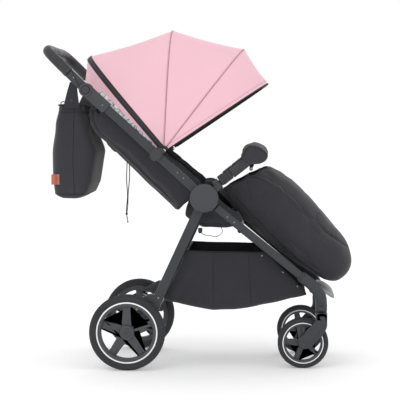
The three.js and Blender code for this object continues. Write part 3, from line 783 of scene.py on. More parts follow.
def make_fork():
    head = tube("fork_head", [(SWIVEL_X, -SWIVEL_Y, 189), (SWIVEL_X, -SWIVEL_Y, 162)],
                oval(18, 18.5, 2.4, 40), PAINT, straight=True)
    seam = tube("fork_seam", [(SWIVEL_X, -SWIVEL_Y, 187.5), (SWIVEL_X, -SWIVEL_Y, 184.5)],
                oval(18.6, 19, 2.4, 40), BLACK_PLASTIC, straight=True)
    shoulder = plate("fork_shoulder", [(331, 188), (368, 188), (368, 160), (331, 160)], -194, -163,
                     PAINT, 3, 5)
    arm = plate("fork_arm",
                [(331, 188), (368, 188), (368, 138), (352, 112), (316, 72), (298, 67), (281, 68),
                 (271, 82),
                             (274, 98), (300, 128), (331, 162)], -194, -180, PAINT, 3, 12)
    axle = rod("fork_axle", FRONT_AXLE, 5.4, -182, -152, STEEL, 0.6)
    cap = disc("fork_axle_cap", FRONT_AXLE, 9, -196, -192, 1.2, BLACK_PLASTIC)
    rib = plate("fork_rib",
                [(340, 176), (356, 150), (334, 110), (312, 86), (322, 84), (348, 112), (362, 140),
                 (362, 176)],
                -195.2, -192, PAINT, 1.2, 8)
    return joined("front_fork_shell", head, seam, shoulder, arm, axle, cap, rib)


def make_front_frame():
    pair(make_front_leg, "frame_paint", "front_leg")
    pair(make_fork, "frame_paint", "front_fork")
    pair(lambda: plate("swivel_lock_tab", [(341, 194), (357, 194), (357, 207), (341, 207)], -185, -178.8,
                       BLACK_PLASTIC, 1.4, 3),
         "black_plastic", "swivel_lock")
    cross = tube("front_cross_tube", [(318, -158, 258), (318, 158, 258)], oval(9, 9), PAINT,
                 side=(1, 0, 0), straight=True)
    stands_for(cross, "frame_paint", "front_cross_bar")
    seat_bar = tube("seat_cross_tube", [(80, -212, 459), (80, 212, 459)], oval(8, 8), PAINT,
                    side=(1, 0, 0), straight=True)
    stands_for(seat_bar, "frame_paint", "seat_cross_bar")
    stands_for(make_foot_plate(), "grey_plastic", "foot_plate")


def make_foot_plate():
    """A curved step with rounded front corners and raised grip ribs."""
    profile = [(334, 254.5), (352, 254), (368, 248), (382, 238.5), (393, 228.5)]
    line = spline([(x, 0, z) for x, z in profile], 3)
    rings = []
    for p in line:
        t = (p.x - 334) / (393 - 334)
        half = 146 - 22 * max(0, t - 0.45) ** 1.4 * 3.2
        rings.append((p, half))
    rows = []
    for j, (p, half) in enumerate(rings):
        q = line[min(j + 1, len(line) - 1)] - line[max(j - 1, 0)]
        up = Vector((-q.z, 0, q.x)).normalized()
        if up.z < 0:
            up = -up
        top, low = [], []
        for i in range(41):
            s = -1 + i / 20
            rim = 1 - abs(s) ** 14 * 0.75
            end = 1 - (abs(2 * j / (len(line) - 1) - 1) ** 10) * 0.6
            thick = 8.5 * rim * end
            top.append(p + Vector((0, s * half, 0)) + up * thick * 0.9)
            low.append(p + Vector((0, s * half, 0)) - up * thick * 0.9)
        rows.append([at(*q) for q in top + low[::-1]])
    step = piece("foot_plate_step", *skin(rows), GREY_PLASTIC, 50)
    ribs = []
    for k in range(9):
        y = -104 + 26 * k
        path = [Vector((p.x, y, p.z + 7.4)) for p, _ in rings[4:-5]]
        ribs.append(piece("rib", *skin(sweep_rings(path, oval(2.2, 1.2, 2, 12))), GREY_PLASTIC))
    return joined("foot_plate_step", step, *ribs)


make_front_frame()


# Hubs, upper tubes, canopy clamps and handle

def make_hub():
    x, z = HUB
    face = lathe("hub_face", [
        (0.01, -HUB_FACE_Y), (36, -HUB_FACE_Y), (39.5, -HUB_FACE_Y + 0.2), (40.6, -HUB_FACE_Y + 1.3),
        (42.2, -HUB_FACE_Y + 1.3),
        (45, -HUB_FACE_Y + 2.2), (HUB_RADIUS, -HUB_FACE_Y + 4.6), (HUB_RADIUS, -254), (45, -250.6),
        (42, -250.2), (0.01, -250.2),
    ], HUB, 0, HUB_SHELL, 128, 50)
    back = disc("hub_back", HUB, 43, -224, -214, 2.5, HUB_SHELL, 96)
    axle = rod("hub_axle", HUB, 9, -251, -223, STEEL)
    socket = plate("leg_socket", bar((-7, 545), (1.5, 538), 34), -251, -223, HUB_SHELL, 4)
    c, s = math.cos(BUMPER_ANGLE), math.sin(BUMPER_ANGLE)
    bumper = plate("bumper_socket", bar((-2, 606.5), (-2 + 20 * c, 606.5 + 20 * s), 30), -248, -223,
                   HUB_SHELL, 4)
    bracket = plate("hub_bracket", [(-10, 600), (8, 586), (24, 608), (10, 622)], -251, -214, HUB_SHELL,
                    3, 5)
    return joined("hub_shell", face, back, axle, socket, bumper, bracket)


def make_upper_tube():
    knuckle = disc("tube_knuckle", HUB, 30, -TUBE_OUTER + 0.8, -TUBE_INNER - 0.8, 3, PAINT)
    beam = tube("tube_beam",
                [(*on_tube(10, 0)[:1], -237, on_tube(10, 0)[1]),
                 (on_tube(497, 0)[0], -237, on_tube(497, 0)[1])],
                oval(10, 14, 3.2, 36), PAINT, straight=True)
    screws = [disc("tube_rivet", on_tube(a, b), 2.6, -TUBE_OUTER - 0.4, -TUBE_OUTER + 3, 0.7, RIVET, 20)
              for a, b in ((93, 2), (120, 2))]
    return joined("upper_tube_shell", knuckle, beam, *screws)


def make_handle_joint():
    d = HANDLE_PIVOT_DISTANCE
    parts = []
    for y0, y1 in ((-TUBE_OUTER - 5, -TUBE_OUTER + 0.2), (-TUBE_INNER - 0.2, -TUBE_INNER + 6)):
        parts.append(plate("joint_wall", bar(on_tube(d - 92, 0), on_tube(d, 0), 39), y0, y1, HUB_SHELL,
                           2.2, 7))
    for across in (17, -17):
        edge = bar(on_tube(d - 91, across), on_tube(d - 24, across), 4.6)
        parts.append(plate("joint_rail", edge, -TUBE_OUTER - 4.4, -TUBE_INNER + 5.4, HUB_SHELL, 1.6))
    ring = [(13.6, -TUBE_OUTER - 2), (13.6, -TUBE_OUTER - 8), (15, -TUBE_OUTER - 9),
            (20, -TUBE_OUTER - 9),
            (22, -TUBE_OUTER - 7.4), (22, -TUBE_OUTER), (13.6, -TUBE_OUTER)]
    parts.append(lathe("joint_ring", ring, HANDLE_PIVOT, 0, HUB_SHELL, 80, 50))
    parts.append(disc("joint_back", HANDLE_PIVOT, 22, -TUBE_INNER - 0.2, -TUBE_INNER + 8, 2, HUB_SHELL))
    parts.append(rivet(on_tube(d - 74, 0), -TUBE_OUTER - 5, 2.6))
    return joined("handle_joint_shell", *parts)


def make_clamp():
    outer, inner = -TUBE_OUTER - 6, -TUBE_INNER + 3
    jaw = [on_tube(196, 26), on_tube(196, 14), on_tube(226, 14), on_tube(226, 17), on_tube(212, 26)]
    heel = [on_tube(198, -14), on_tube(200, -23), on_tube(222, -23), on_tube(224, -14)]
    parts = [
        plate("clamp_jaw", jaw, outer, inner, BLACK_PLASTIC, 2.2, 5),
        plate("clamp_heel", heel, outer, inner, BLACK_PLASTIC, 2.2, 6),
        plate("clamp_face", bar(on_tube(196, 0), on_tube(226, 0), 34), outer, -TUBE_OUTER - 0.3,
              BLACK_PLASTIC, 2, 4),
        plate("clamp_back", bar(on_tube(196, 0), on_tube(226, 0), 34), -TUBE_INNER + 0.3, inner,
              BLACK_PLASTIC, 1, 3),
        rod("clamp_pin", CANOPY_PIVOT, 5.5, -TUBE_INNER + 2, -205, STEEL),
        disc("clamp_button", on_tube(211, -1), 19, outer - 1.5, outer + 1, 0.8, BLACK_PLASTIC, 40),
    ]
    return joined("canopy_clamp_shell", *parts)


def on_arm(t):
    return (HANDLE_PIVOT[0] + (HANDLE_TOP[0] - HANDLE_PIVOT[0]) * t,
            HANDLE_PIVOT[1] + (HANDLE_TOP[1] - HANDLE_PIVOT[1]) * t)


def handle_path(start):
    def side(sign):
        return [(on_arm(t)[0], sign * y, on_arm(t)[1])
                for t, y in ((start, 237), (0.62, 237), (0.82, 232), (0.95, 210), (1, 170))]
    return [*side(-1), (HANDLE_TOP[0], 0, HANDLE_TOP[1]), *side(1)[::-1]]


def make_handle():
    path = spline(handle_path(0.45), 5)
    parts = [piece("handle_core", *skin(sweep_rings(path, oval(9, 11, 2.2))), PAINT)]
    for sign in SIDES:
        y0, y1 = sign * (TUBE_OUTER - 1.2), sign * (TUBE_INNER + 1.2)
        parts.append(disc("handle_knuckle", HANDLE_PIVOT, 19, y0, y1, 2, PAINT))
        parts.append(plate("handle_arm", bar(on_arm(0.02), on_arm(0.45), 31), y0, y1, PAINT, 4, 3))
        parts.append(disc("handle_screw", on_arm(0.3), 3, sign * (TUBE_OUTER - 2.4),
                          sign * (TUBE_OUTER - 0.2), 0.7, RIVET, 24))
    stands_for(joined("handle_tube", *parts), "frame_paint", "handle_bar")
    grip = piece("handle_cover", *skin(sweep_rings(path, grip_section)), LEATHER)
    stands_for(grip, "grip_leather", "handle_grip")
    cuffs = []
    for sign in SIDES:
        a, b = on_arm(0.435), on_arm(0.475)
        cuffs.append(tube("cuff", [(a[0], sign * 237, a[1]), (b[0], sign * 237, b[1])],
                          oval(GRIP_RADIUS - 0.4, GRIP_RADIUS + 0.6, 2.4, 36), BLACK_PLASTIC,
                          straight=True))
    cuff = joined("handle_cuffs", *cuffs)
    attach(cuff, "handle")
    stitching = stitch_row("handle_stitching", offset_path(path, 0, GRIP_RADIUS - 0.1), 4.2)
    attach(stitching, "handle")


def grip_section(t):
    end = min(t, 1 - t)
    swell = 1 - 0.05 * math.exp(-end * 60)
    return oval((GRIP_RADIUS - 1) * swell, GRIP_RADIUS * swell, 2.1, 36)


def offset_path(path, side_shift, up_shift):
    """The path moved sideways in its own frame."""
    return [p + side * side_shift + up * up_shift for _, p, side, up in path_frames(path, (0, 1, 0))]


def stitch_row(name, path, spacing, radius=0.55, material=None):
    """Short threads laid end to end along a path in millimetres."""
    even = spline(path[:: max(1, len(path) // 90)], spacing)
    points, faces = [], []
    for a, b in zip(even, even[1:]):
        d = b - a
        side = d.cross(Vector((0.31, 0.87, 0.39))).normalized() * radius
        up = d.cross(side).normalized() * radius
        first, start = a + d * 0.14, len(points)
        for q in (first, first + d * 0.66):
            points += [at(*(q + side)), at(*(q + up)), at(*(q - side)), at(*(q - up))]
        for k in range(4):
            n = (k + 1) % 4
            faces.append((start + k, start + n, start + 4 + n, start + 4 + k))
        faces += [(start, start + 1, start + 2, start + 3), (start + 4, start + 5, start + 6, start + 7)]
    return piece(name, points, faces, material or THREAD, 80)


def make_upper_frame():
    pair(make_hub, "frame_paint", "hub")
    pair(lambda: disc("bumper_release", (8, 612), 6, -255, -246, 1, BLACK_PLASTIC, 32), "black_plastic",
         "bumper_button")
    pair(make_upper_tube, "frame_paint", "upper_tube")
    pair(make_handle_joint, "frame_paint", "handle_joint")
    pair(lambda: disc("handle_release", HANDLE_PIVOT, 13, -TUBE_OUTER - 12, -TUBE_OUTER - 5, 1.8,
                      BLACK_PLASTIC, 56),
         "black_plastic", "handle_button")
    pair(make_clamp, "black_plastic", "canopy_clamp")
    make_handle()


make_upper_frame()


# Rear legs, suspension and brake

def make_rear_leg():
    near, far = -LEG_INNER, -LEG_OUTER
    parts = [
        disc("leg_knuckle", HUB, 38, far, near, 3, PAINT, 80),
        tube("leg_beam", [(-50, -199, 535.5), (-197, -199, 217)], oval(10, 16.5, 3.4, 36), PAINT,
             straight=True),
        plate("leg_foot",
              [(-181, 240), (-216, 250), (-262, 224), (-275, 222), (-275, 209), (-250, 206), (-226, 206),
                           (-224, 178), (-192, 178), (-178, 222)], far, near, PAINT, 3, 9),
        plate("leg_lug", [(-226, 206), (-224, 142), (-212, 136), (-198, 142), (-190, 200)], near - 8,
              near, PAINT, 1.8, 7),
        rod("leg_pin", SUSPENSION_PIVOT, 5, far + 1, near - 7, STEEL, 0.6),
        disc("leg_cap", (-203, 205), 13, far - 1.2, far + 2, 1, BLACK_PLASTIC, 48),
        disc("leg_screw", (-188, 236), 3.4, far - 0.8, far + 2, 0.7, RIVET, 24),
    ]
    return joined("rear_leg_shell", *parts)


def make_suspension():
    x, z = REAR_AXLE
    parts = [
        plate("arm",
              [(-200, 152), (-204, 140), (-214, 138), (-284, 110), (-302, 118), (-302, 136), (-290, 145),
               (-264, 145),
                      (-222, 162), (-206, 162)], -207, -198.5, PAINT, 1.8, 7),
        plate("pad", [(-292, 140), (-262, 140), (-262, 146), (-292, 146)], -209, -190, PAINT, 1, 2),
        rod("stub", REAR_AXLE, 12, -209, -196, PAINT, 1.5),
        rod("axle", REAR_AXLE, 5.4, -236, -196, STEEL, 0.6),
    ]
    return joined("suspension_link", *parts)


def make_spring():
    """Six turns of steel wire, with flat ends."""
    turns, wire, coil = 6, 1.35, 8
    top, foot = Vector((-265, -199, 206.4)), Vector((-276, -199, 147.6))
    path = []
    for i in range(turns * 18 + 1):
        t = i / (turns * 18)
        a = t * turns * 2 * math.pi
        lift = wire / (top - foot).length
        p = foot.lerp(top, lift + (1 - 2 * lift) * t)
        path.append(p + Vector((coil * math.cos(a), coil * math.sin(a), 0)))
    return piece("suspension_coil", *skin(sweep_rings(path, oval(wire, wire, 2, 10), (0, 0, 1))), STEEL,
                 60)


def make_brake():
    parts = [
        lathe("sleeve", [(12.6, -38), (14.5, -38), (16.5, -36), (16.5, 36), (14.5, 38), (12.6, 38)],
              (-203, 205), 0,
              GREY_PLASTIC, 64, 50),
        plate("paddle", [(-208, 222), (-222, 220), (-258, 196), (-262, 186), (-256, 184), (-212, 200)],
              -36, 36, GREY_PLASTIC, 2, 6),
    ]
    for k in range(4):
        a, b = (-228 - 7 * k, 216.4 - 4.7 * k), (-230.2 - 7 * k, 214.9 - 4.7 * k)
        parts.append(plate("grip", bar(a, b, 3), -28, 28, BLACK_PLASTIC, 0.6))
    return joined("brake_paddle", *parts)


def make_rear_frame():
    pair(make_rear_leg, "frame_paint", "rear_leg")
    pair(make_suspension, "frame_paint", "suspension_arm")
    pair(make_spring, "spring_steel", "suspension_spring")
    cross = tube("rear_cross_tube", [(-203, -188.5, 205), (-203, 188.5, 205)], oval(12, 12), PAINT,
                 side=(1, 0, 0), straight=True)
    stands_for(cross, "frame_paint", "rear_cross_bar")
    stands_for(make_brake(), "grey_plastic", "brake_pedal")


make_rear_frame()


# Bumper bar

def bumper_point(along):
    return (BUMPER_START[0] + math.cos(BUMPER_ANGLE) * along,
            BUMPER_START[1] + math.sin(BUMPER_ANGLE) * along)


def bumper_path():
    def side(sign):
        low, mid, high = bumper_point(46), bumper_point(85), bumper_point(116)
        return [(low[0], sign * 235, low[1]), (mid[0], sign * 232, mid[1]),
                (high[0], sign * 218, high[1]),
                (124, sign * 180, 702), (128, sign * 130, 704)]
    return [*side(-1), (130, 0, 705), *side(1)[::-1]]


def make_bumper_arm():
    parts = [plate("neck", bar(bumper_point(0.6), bumper_point(45), 31), -247.5, -224.5, BLACK_PLASTIC,
                   4)]
    for along in range(8, 42, 4):
        rib = bar(bumper_point(along - 1.1), bumper_point(along + 1.1), 35)
        parts.append(plate("rib", rib, -249.5, -222.5, BLACK_PLASTIC, 1.0))
    return joined("bumper_sleeve", *parts)


def make_bumper():
    pair(make_bumper_arm, "black_plastic", "bumper_arm")
    path = spline(bumper_path(), 5)
    cover = piece("bumper_cover_leather", *skin(sweep_rings(path, oval(13, 18, 2.2, 32))), LEATHER)
    stands_for(cover, "grip_leather", "bumper_bar")
    seam = stitch_row("bumper_stitching", offset_path(path, 0, -18.2), 4.2)
    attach(seam, "bumper")


make_bumper()


# Soft pieces: shared steps

SWELL_FRAMES = 20


def remeshed(obj, voxel, smoothing):
    """One even skin over the piece, with its hard edges softened."""
    bm = bmesh.new()
    bm.from_mesh(obj.data)
    bmesh.ops.remove_doubles(bm, verts=bm.verts, dist=1e-5)
    bm.to_mesh(obj.data)
    bm.free()
    grid = obj.modifiers.new("remesh", "REMESH")
    grid.mode = "VOXEL"
    grid.voxel_size = voxel / 1000
    soften = obj.modifiers.new("soften", "SMOOTH")
    soften.factor = 0.5
    soften.iterations = smoothing
    return baked(obj)


def swollen(obj, pressure, cap):
    """Fills the piece with air pressure, as cloth. No point moves further than cap millimetres."""
    rest = [v.co.copy() for v in obj.data.vertices]
    cloth = obj.modifiers.new("cloth", "CLOTH")
    cloth.settings.use_pressure = True
    cloth.settings.uniform_pressure_force = pressure
    cloth.settings.effector_weights.gravity = 0
    cloth.settings.quality = 4
    cloth.settings.mass = 0.25
    cloth.collision_settings.use_collision = False
    cloth.point_cache.frame_start = 1
    cloth.point_cache.frame_end = SWELL_FRAMES
    scene = bpy.context.scene
    for number in range(1, SWELL_FRAMES + 1):
        scene.frame_set(number)
    baked(obj)
    for v, before in zip(obj.data.vertices, rest):
        moved = v.co - before
        if moved.length > cap / 1000:
            v.co = before + moved.normalized() * cap / 1000
    scene.frame_set(1)
    return obj


def crumple(obj, size, depth, seed, stretch=(1, 1, 1)):
    """Soft folds: points move along their normals by a smooth noise, all in millimetres."""
    normals = [v.normal.copy() for v in obj.data.vertices]
    for v, normal in zip(obj.data.vertices, normals):
        p = Vector((v.co.x * stretch[0], v.co.y * stretch[1], v.co.z * stretch[2])) * 1000 / size
        v.co += normal * noise.noise(p + Vector((seed, seed * 2.3, seed * 0.7))) * depth / 1000
    return obj


def smoother(obj):
    extra = obj.modifiers.new("smoother", "SUBSURF")
    extra.levels = 1
    extra.render_levels = 1
    return baked(obj)


def thickened(obj, thickness, offset):
    """Gives a single skin its thickness in millimetres."""
    thick = obj.modifiers.new("thickness", "SOLIDIFY")
    thick.thickness = thickness / 1000
    thick.offset = offset
    return baked(obj)


def line_on(obj, points, side, step=3.0):
    """Points in the row frame where a line drawn in the side view meets the outside of a piece."""
    tree = surface_of(obj)
    found = []
    for p in spline([(x, 0, z) for x, z in points], step):
        hit = tree.ray_cast(at(p.x, side * 400, p.z), Vector((0, -side, 0)))[0]
        if hit is not None:
            found.append(hit)
    return found


def nearest_on(obj, points, lift=0.0):
    """The nearest points of a piece to a line in the row frame."""
    tree = surface_of(obj)
    found = []
    for p in points:
        hit, normal, _, _ = tree.find_nearest(p)
        found.append(hit + normal * lift / 1000)
    return found


def sew(obj, line, width, depth):
    """Pulls the skin in along a sewn line."""
    tree = KDTree(len(line))
    for i, p in enumerate(line):
        tree.insert(p, i)
    tree.balance()
    normals = [v.normal.copy() for v in obj.data.vertices]
    for v, normal in zip(obj.data.vertices, normals):
        _, _, distance = tree.find(v.co)
        reach = distance * 1000 / width
        if reach < 1:
            v.co -= normal * depth / 1000 * (1 - reach * reach) ** 2
    return obj


def cord_along(name, line, radius, material):
    """A thin piping along points in the row frame."""
    section = oval(radius, radius, 2, 8)
    rings = []
    for _, p, side, up in path_frames(line, (0.21, 0.93, 0.3)):
        rings.append([p + side * u / 1000 + up * v / 1000 for u, v in section])
    return piece(name, *skin(rings), material, 80)


def in_mm(line):
    return [Vector(((p.x - FORWARD) * 1000, p.y * 1000, p.z * 1000)) for p in line]


def stitched_seam(obj, line, width, depth, radius=0.9, material=None, row=2.6):
    """A sewn line: the skin pulled in, piping in the groove, and a row of stitches beside it."""
    sew(obj, line, width, depth)
    settled = nearest_on(obj, line, 0.2)
    beside = nearest_on(obj, [p + Vector((0, 0, row / 1000)) for p in settled], 0.25)
    return [cord_along("seam", settled, radius, material or PIPING),
            stitch_row("stitches", in_mm(beside), 4.5, 0.42)]


def from_cad(node, name, material):
    """A new mesh with the shape of a CAD node."""
    mesh = frame["nodes"][node].data.copy()
    mesh.materials.clear()
    mesh.materials.append(material)
    return linked(name, mesh)


def shrunk(obj, inset):
    """The skin moved inwards, to leave room for the filling."""
    normals = [v.normal.copy() for v in obj.data.vertices]
    for v, normal in zip(obj.data.vertices, normals):
        v.co -= normal * inset / 1000
    return obj


# Foot muff

MUFF_STATIONS = [
    ((8, 592), (164, 670), 168), ((55, 530), (234, 624), 172), ((101, 481), (303, 566), 170),
    ((152, 428), (354, 510), 166), ((207, 385), (402, 450), 160), ((262, 338), (438, 408), 150),
    ((322, 300), (456, 356), 138), ((364, 276), (450, 318), 116), ((392, 272), (428, 292), 84),
]

MUFF_SQUARENESS = 0.72


def muff_ring(station, inset, count=64):
    (x0, z0), (x1, z1), half = station
    middle, reach = Vector(((x0 + x1) / 2, (z0 + z1) / 2)), Vector(((x1 - x0) / 2, (z1 - z0) / 2))
    shrink = (reach.length - inset) / reach.length
    ring = []
    for i in range(count):
        a = (i + 0.5) / count * 2 * math.pi
        c = signed_power(math.cos(a), MUFF_SQUARENESS)
        s = signed_power(math.sin(a), MUFF_SQUARENESS)
        ring.append(at(middle.x + reach.x * shrink * c, (half - inset) * s,
                       middle.y + reach.y * shrink * c))
    return ring


def muff_stations(last):
    """Stations between the given ones, on smooth lines."""
    count = len(spline([(x, z, 0) for (x, z), _, _ in MUFF_STATIONS[:last]], 4))
    steps = last - 1

    def between(values, t):
        i = min(int(t * steps), steps - 1)
        u = t * steps - i
        p = [values[max(i - 1, 0)], values[i], values[i + 1], values[min(i + 2, last - 1)]]
        return 0.5 * (2 * p[1] + (p[2] - p[0]) * u + (2 * p[0] - 5 * p[1] + 4 * p[2] - p[3]) * u * u
                      + (3 * p[1] - p[0] - 3 * p[2] + p[3]) * u ** 3)

    columns = list(zip(*[(*a, *b, half) for a, b, half in MUFF_STATIONS[:last]]))
    made = []
    for k in range(count):
        v = [between(column, k / (count - 1)) for column in columns]
        made.append(((v[0], v[1]), (v[2], v[3]), v[4]))
    return made


MUFF_SIDE_SEAM = [(96, 634), (136, 628), (179, 610), (240, 566), (297, 511), (350, 462), (400, 425),
                  (440, 398)]
MUFF_LOW_SEAM = [(62, 566), (100, 524), (150, 474), (200, 424), (250, 378), (304, 332), (352, 302)]


def make_foot_muff():
    outer = [muff_ring(s, 0) for s in muff_stations(9)]
    inner = [muff_ring(s, 12) for s in muff_stations(8)][::-1]
    muff = piece("foot_muff_cover", *skin(inner + outer), CHARCOAL)
    remeshed(muff, 6, 6)
    shrunk(muff, 4)
    swollen(muff, 4, 8)
    crumple(muff, 150, 7, 3.1, (1, 0.6, 1))
    crumple(muff, 55, 3.2, 8.4, (1.6, 0.8, 0.7))
    smoother(muff)
    extras = []
    for side in SIDES:
        extras += stitched_seam(muff, line_on(muff, MUFF_SIDE_SEAM, side), 13, 4)
        extras += stitched_seam(muff, line_on(muff, MUFF_LOW_SEAM, side), 12, 3)
    mouth = muff_ring(MUFF_STATIONS[0], 6)
    rim = nearest_on(muff, mouth + mouth[:1], 0.5)
    extras.append(cord_along("mouth_piping", rim, 2.0, PIPING))
    muff = joined("foot_muff_cover", muff, *extras)
    shade(muff, 80)
    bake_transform(muff)
    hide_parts("foot_muff")


# Bumper flap

FLAP_PROFILE = [(78, 702), (90, 727), (107, 743), (130, 740), (153, 731), (176, 716), (175, 698),
                (164, 684), (138, 677), (111, 684), (92, 690)]


def make_bumper_flap():
    flap = plate("bumper_flap", FLAP_PROFILE, -246, 246, CHARCOAL, 7, 8, 3)
    remeshed(flap, 4, 8)
    shrunk(flap, 2)
    swollen(flap, 4, 6)
    crumple(flap, 60, 5, 5.5, (1, 0.5, 1))
    crumple(flap, 28, 2, 2.5, (1, 0.5, 1))
    smoother(flap)
    extras = []
    for side in SIDES:
        edge = [(92, 700), (100, 722), (112, 733), (132, 730), (156, 720), (166, 706)]
        extras += stitched_seam(flap, line_on(flap, edge, side), 6, 1.4, 0.7)
    tab = plate("flap_tab", [(112, 684), (124, 682), (121, 656), (111, 657)], -212, -196, WEBBING, 1, 2)
    snap = disc("flap_snap", (116.5, 663), 4, -214, -211.6, 0.8, GREY_PLASTIC, 32)
    both = [tab, mirrored(tab, "flap_tab_far"), snap, mirrored(snap, "snap_far")]
    flap = joined("bumper_flap", flap, *both, *extras)
    stands_for(flap, "charcoal_fabric", "bumper_cover")


# Seat

def make_seat_back():
    seat = from_cad("seat_back", "seat_back_padding", CHARCOAL)
    c, s = math.cos(TUBE_ANGLE), math.sin(TUBE_ANGLE)
    for v in seat.data.vertices:
        x, z = (v.co.x - FORWARD) * 1000 - HUB[0], v.co.z * 1000 - HUB[1]
        along, across = c * x + s * z, s * x - c * z
        if across > 8:
            x, z = on_tube(along, 8 + (across - 8) * 0.5)
            moved = at(x, 0, z)
            v.co.x, v.co.z = moved.x, moved.z
    remeshed(seat, 5, 10)
    shrunk(seat, 4)
    swollen(seat, 4, 7)
    crumple(seat, 120, 4, 1.7)
    smoother(seat)
    extras = []
    for side in SIDES:
        wing = [on_tube(a, b)
                for a, b in ((70, 24), (180, 22), (300, 18), (390, 4), (440, -16), (466, -40))]
        lower = [on_tube(a, b)
                 for a, b in ((60, -84), (190, -80), (345, -76), (405, -75), (444, -62), (468, -40))]
        extras += stitched_seam(seat, line_on(seat, wing, side), 10, 2.4)
        extras += stitched_seam(seat, line_on(seat, lower, side), 10, 2.4)
    towards = Vector((-math.sin(TUBE_ANGLE), 0, math.cos(TUBE_ANGLE)))
    middle = [on_tube(60 + 6.2 * k, 30) for k in range(60)]
    for y in (-78, 0, 78):
        tree = surface_of(seat)
        hits = [tree.ray_cast(at(x, y, z), towards)[0] for x, z in middle]
        channel = [h for h in hits if h is not None]
        sew(seat, channel, 11, 3.2)
        extras.append(stitch_row("channel_stitches", in_mm(nearest_on(seat, channel, 0.2)), 4.5, 0.5))
    seat = joined("seat_back_padding", seat, *extras)
    shade(seat, 80)
    stands_for(seat, "charcoal_fabric", "seat_back")
    a, b, c, d = on_tube(312, -84), on_tube(362, -82), on_tube(372, -100), on_tube(326, -104)
    pouch = plate("recline_pouch", rounded([a, b, c, d], 12), -64, 64, CHARCOAL_DARK, 6, 0, 4)
    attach(pouch, "seat_back")


def make_seat_base():
    base = from_cad("seat_base", "seat_base_padding", CHARCOAL)
    for v in base.data.vertices:
        back = max(0, (-58 - (v.co.x - FORWARD) * 1000) / 36)
        front = max(0, ((v.co.x - FORWARD) * 1000 - 40) / 55)
        v.co.x += (front * 5 - back * 17) / 1000
        v.co.z += front * 5 / 1000
    remeshed(base, 5, 8)
    shrunk(base, 3)
    swollen(base, 4, 6)
    crumple(base, 90, 4, 6.2)
    smoother(base)
    extras = []
    for side in SIDES:
        extras += stitched_seam(base,
                                line_on(base, [(-84, 512), (-60, 486), (-40, 476), (40, 477), (80, 484)],
                                        side), 9, 2)
    base = joined("seat_base_padding", base, *extras)
    shade(base, 80)
    stands_for(base, "charcoal_fabric", "seat_base")


make_foot_muff()
make_bumper_flap()
make_seat_back()
make_seat_base()


# Basket

BASKET_BACK_X = -95
BASKET_BACK_HALF_WIDTH = 181.5
BASKET_RIM = [(BASKET_BACK_X, 390), (-30, 387), (60, 386), (163, 384), (230, 318), (292, 258),
              (300, 244)]
BASKET_FLOOR = [(-171, 225), (-90, 205), (-8, 193), (60, 195), (130, 203), (215, 222), (300, 242)]


def polyline(points, t):
    """A point at share t of a broken line's length."""
    lengths = [0.0]
    for a, b in zip(points, points[1:]):
        lengths.append(lengths[-1] + math.dist(a, b))
    want = t * lengths[-1]
    for i in range(len(points) - 1):
        if want <= lengths[i + 1] + 1e-9:
            u = (want - lengths[i]) / (lengths[i + 1] - lengths[i])
            return Vector(points[i]).lerp(Vector(points[i + 1]), u)
    return Vector(points[-1])


def basket_half_width(x):
    return BASKET_BACK_HALF_WIDTH - max(0, x - 120) / 190 * 35


def basket_section(t):
    """Half a section, from the rim down the side and in to the middle line."""
    rim, foot = polyline(BASKET_RIM, t), polyline(BASKET_FLOOR, t)
    made = []
    drop = math.dist(rim, foot)
    bend = min(26, drop * 0.45)
    for i in range(20):
        v = i / 19
        p = rim.lerp(foot, v * (drop - bend) / max(drop, 1e-6))
        half = basket_half_width(p.x)
        rear_pleat = 5 * math.sin(22 * t * math.pi + 5 * v) * v * (1 - t) ** 3
        front_pleat = 4 * math.sin(44 * t + 4 * v) * v * t ** 3
        bulge = 4 * math.sin(math.pi * v) * min(1, drop / 120) - 4
        made.append(Vector((p.x, -(half + bulge + (rear_pleat + front_pleat) * 0.6), p.y)))
    base = made[-1]
    for i in range(1, 7):
        a = i / 6 * math.pi / 2
        p = polyline([tuple(rim.lerp(foot, (drop - bend) / max(drop, 1e-6))), tuple(foot)], math.sin(a))
        made.append(Vector((p.x, base.y + bend * (1 - math.cos(a)), p.y)))
    edge = made[-1].y
    for i in range(1, 13):
        u = i / 12
        sag = 2.0 * math.sin(math.pi * u / 2)
        made.append(Vector((foot.x, edge * (1 - u), foot.y - sag)))
    return made


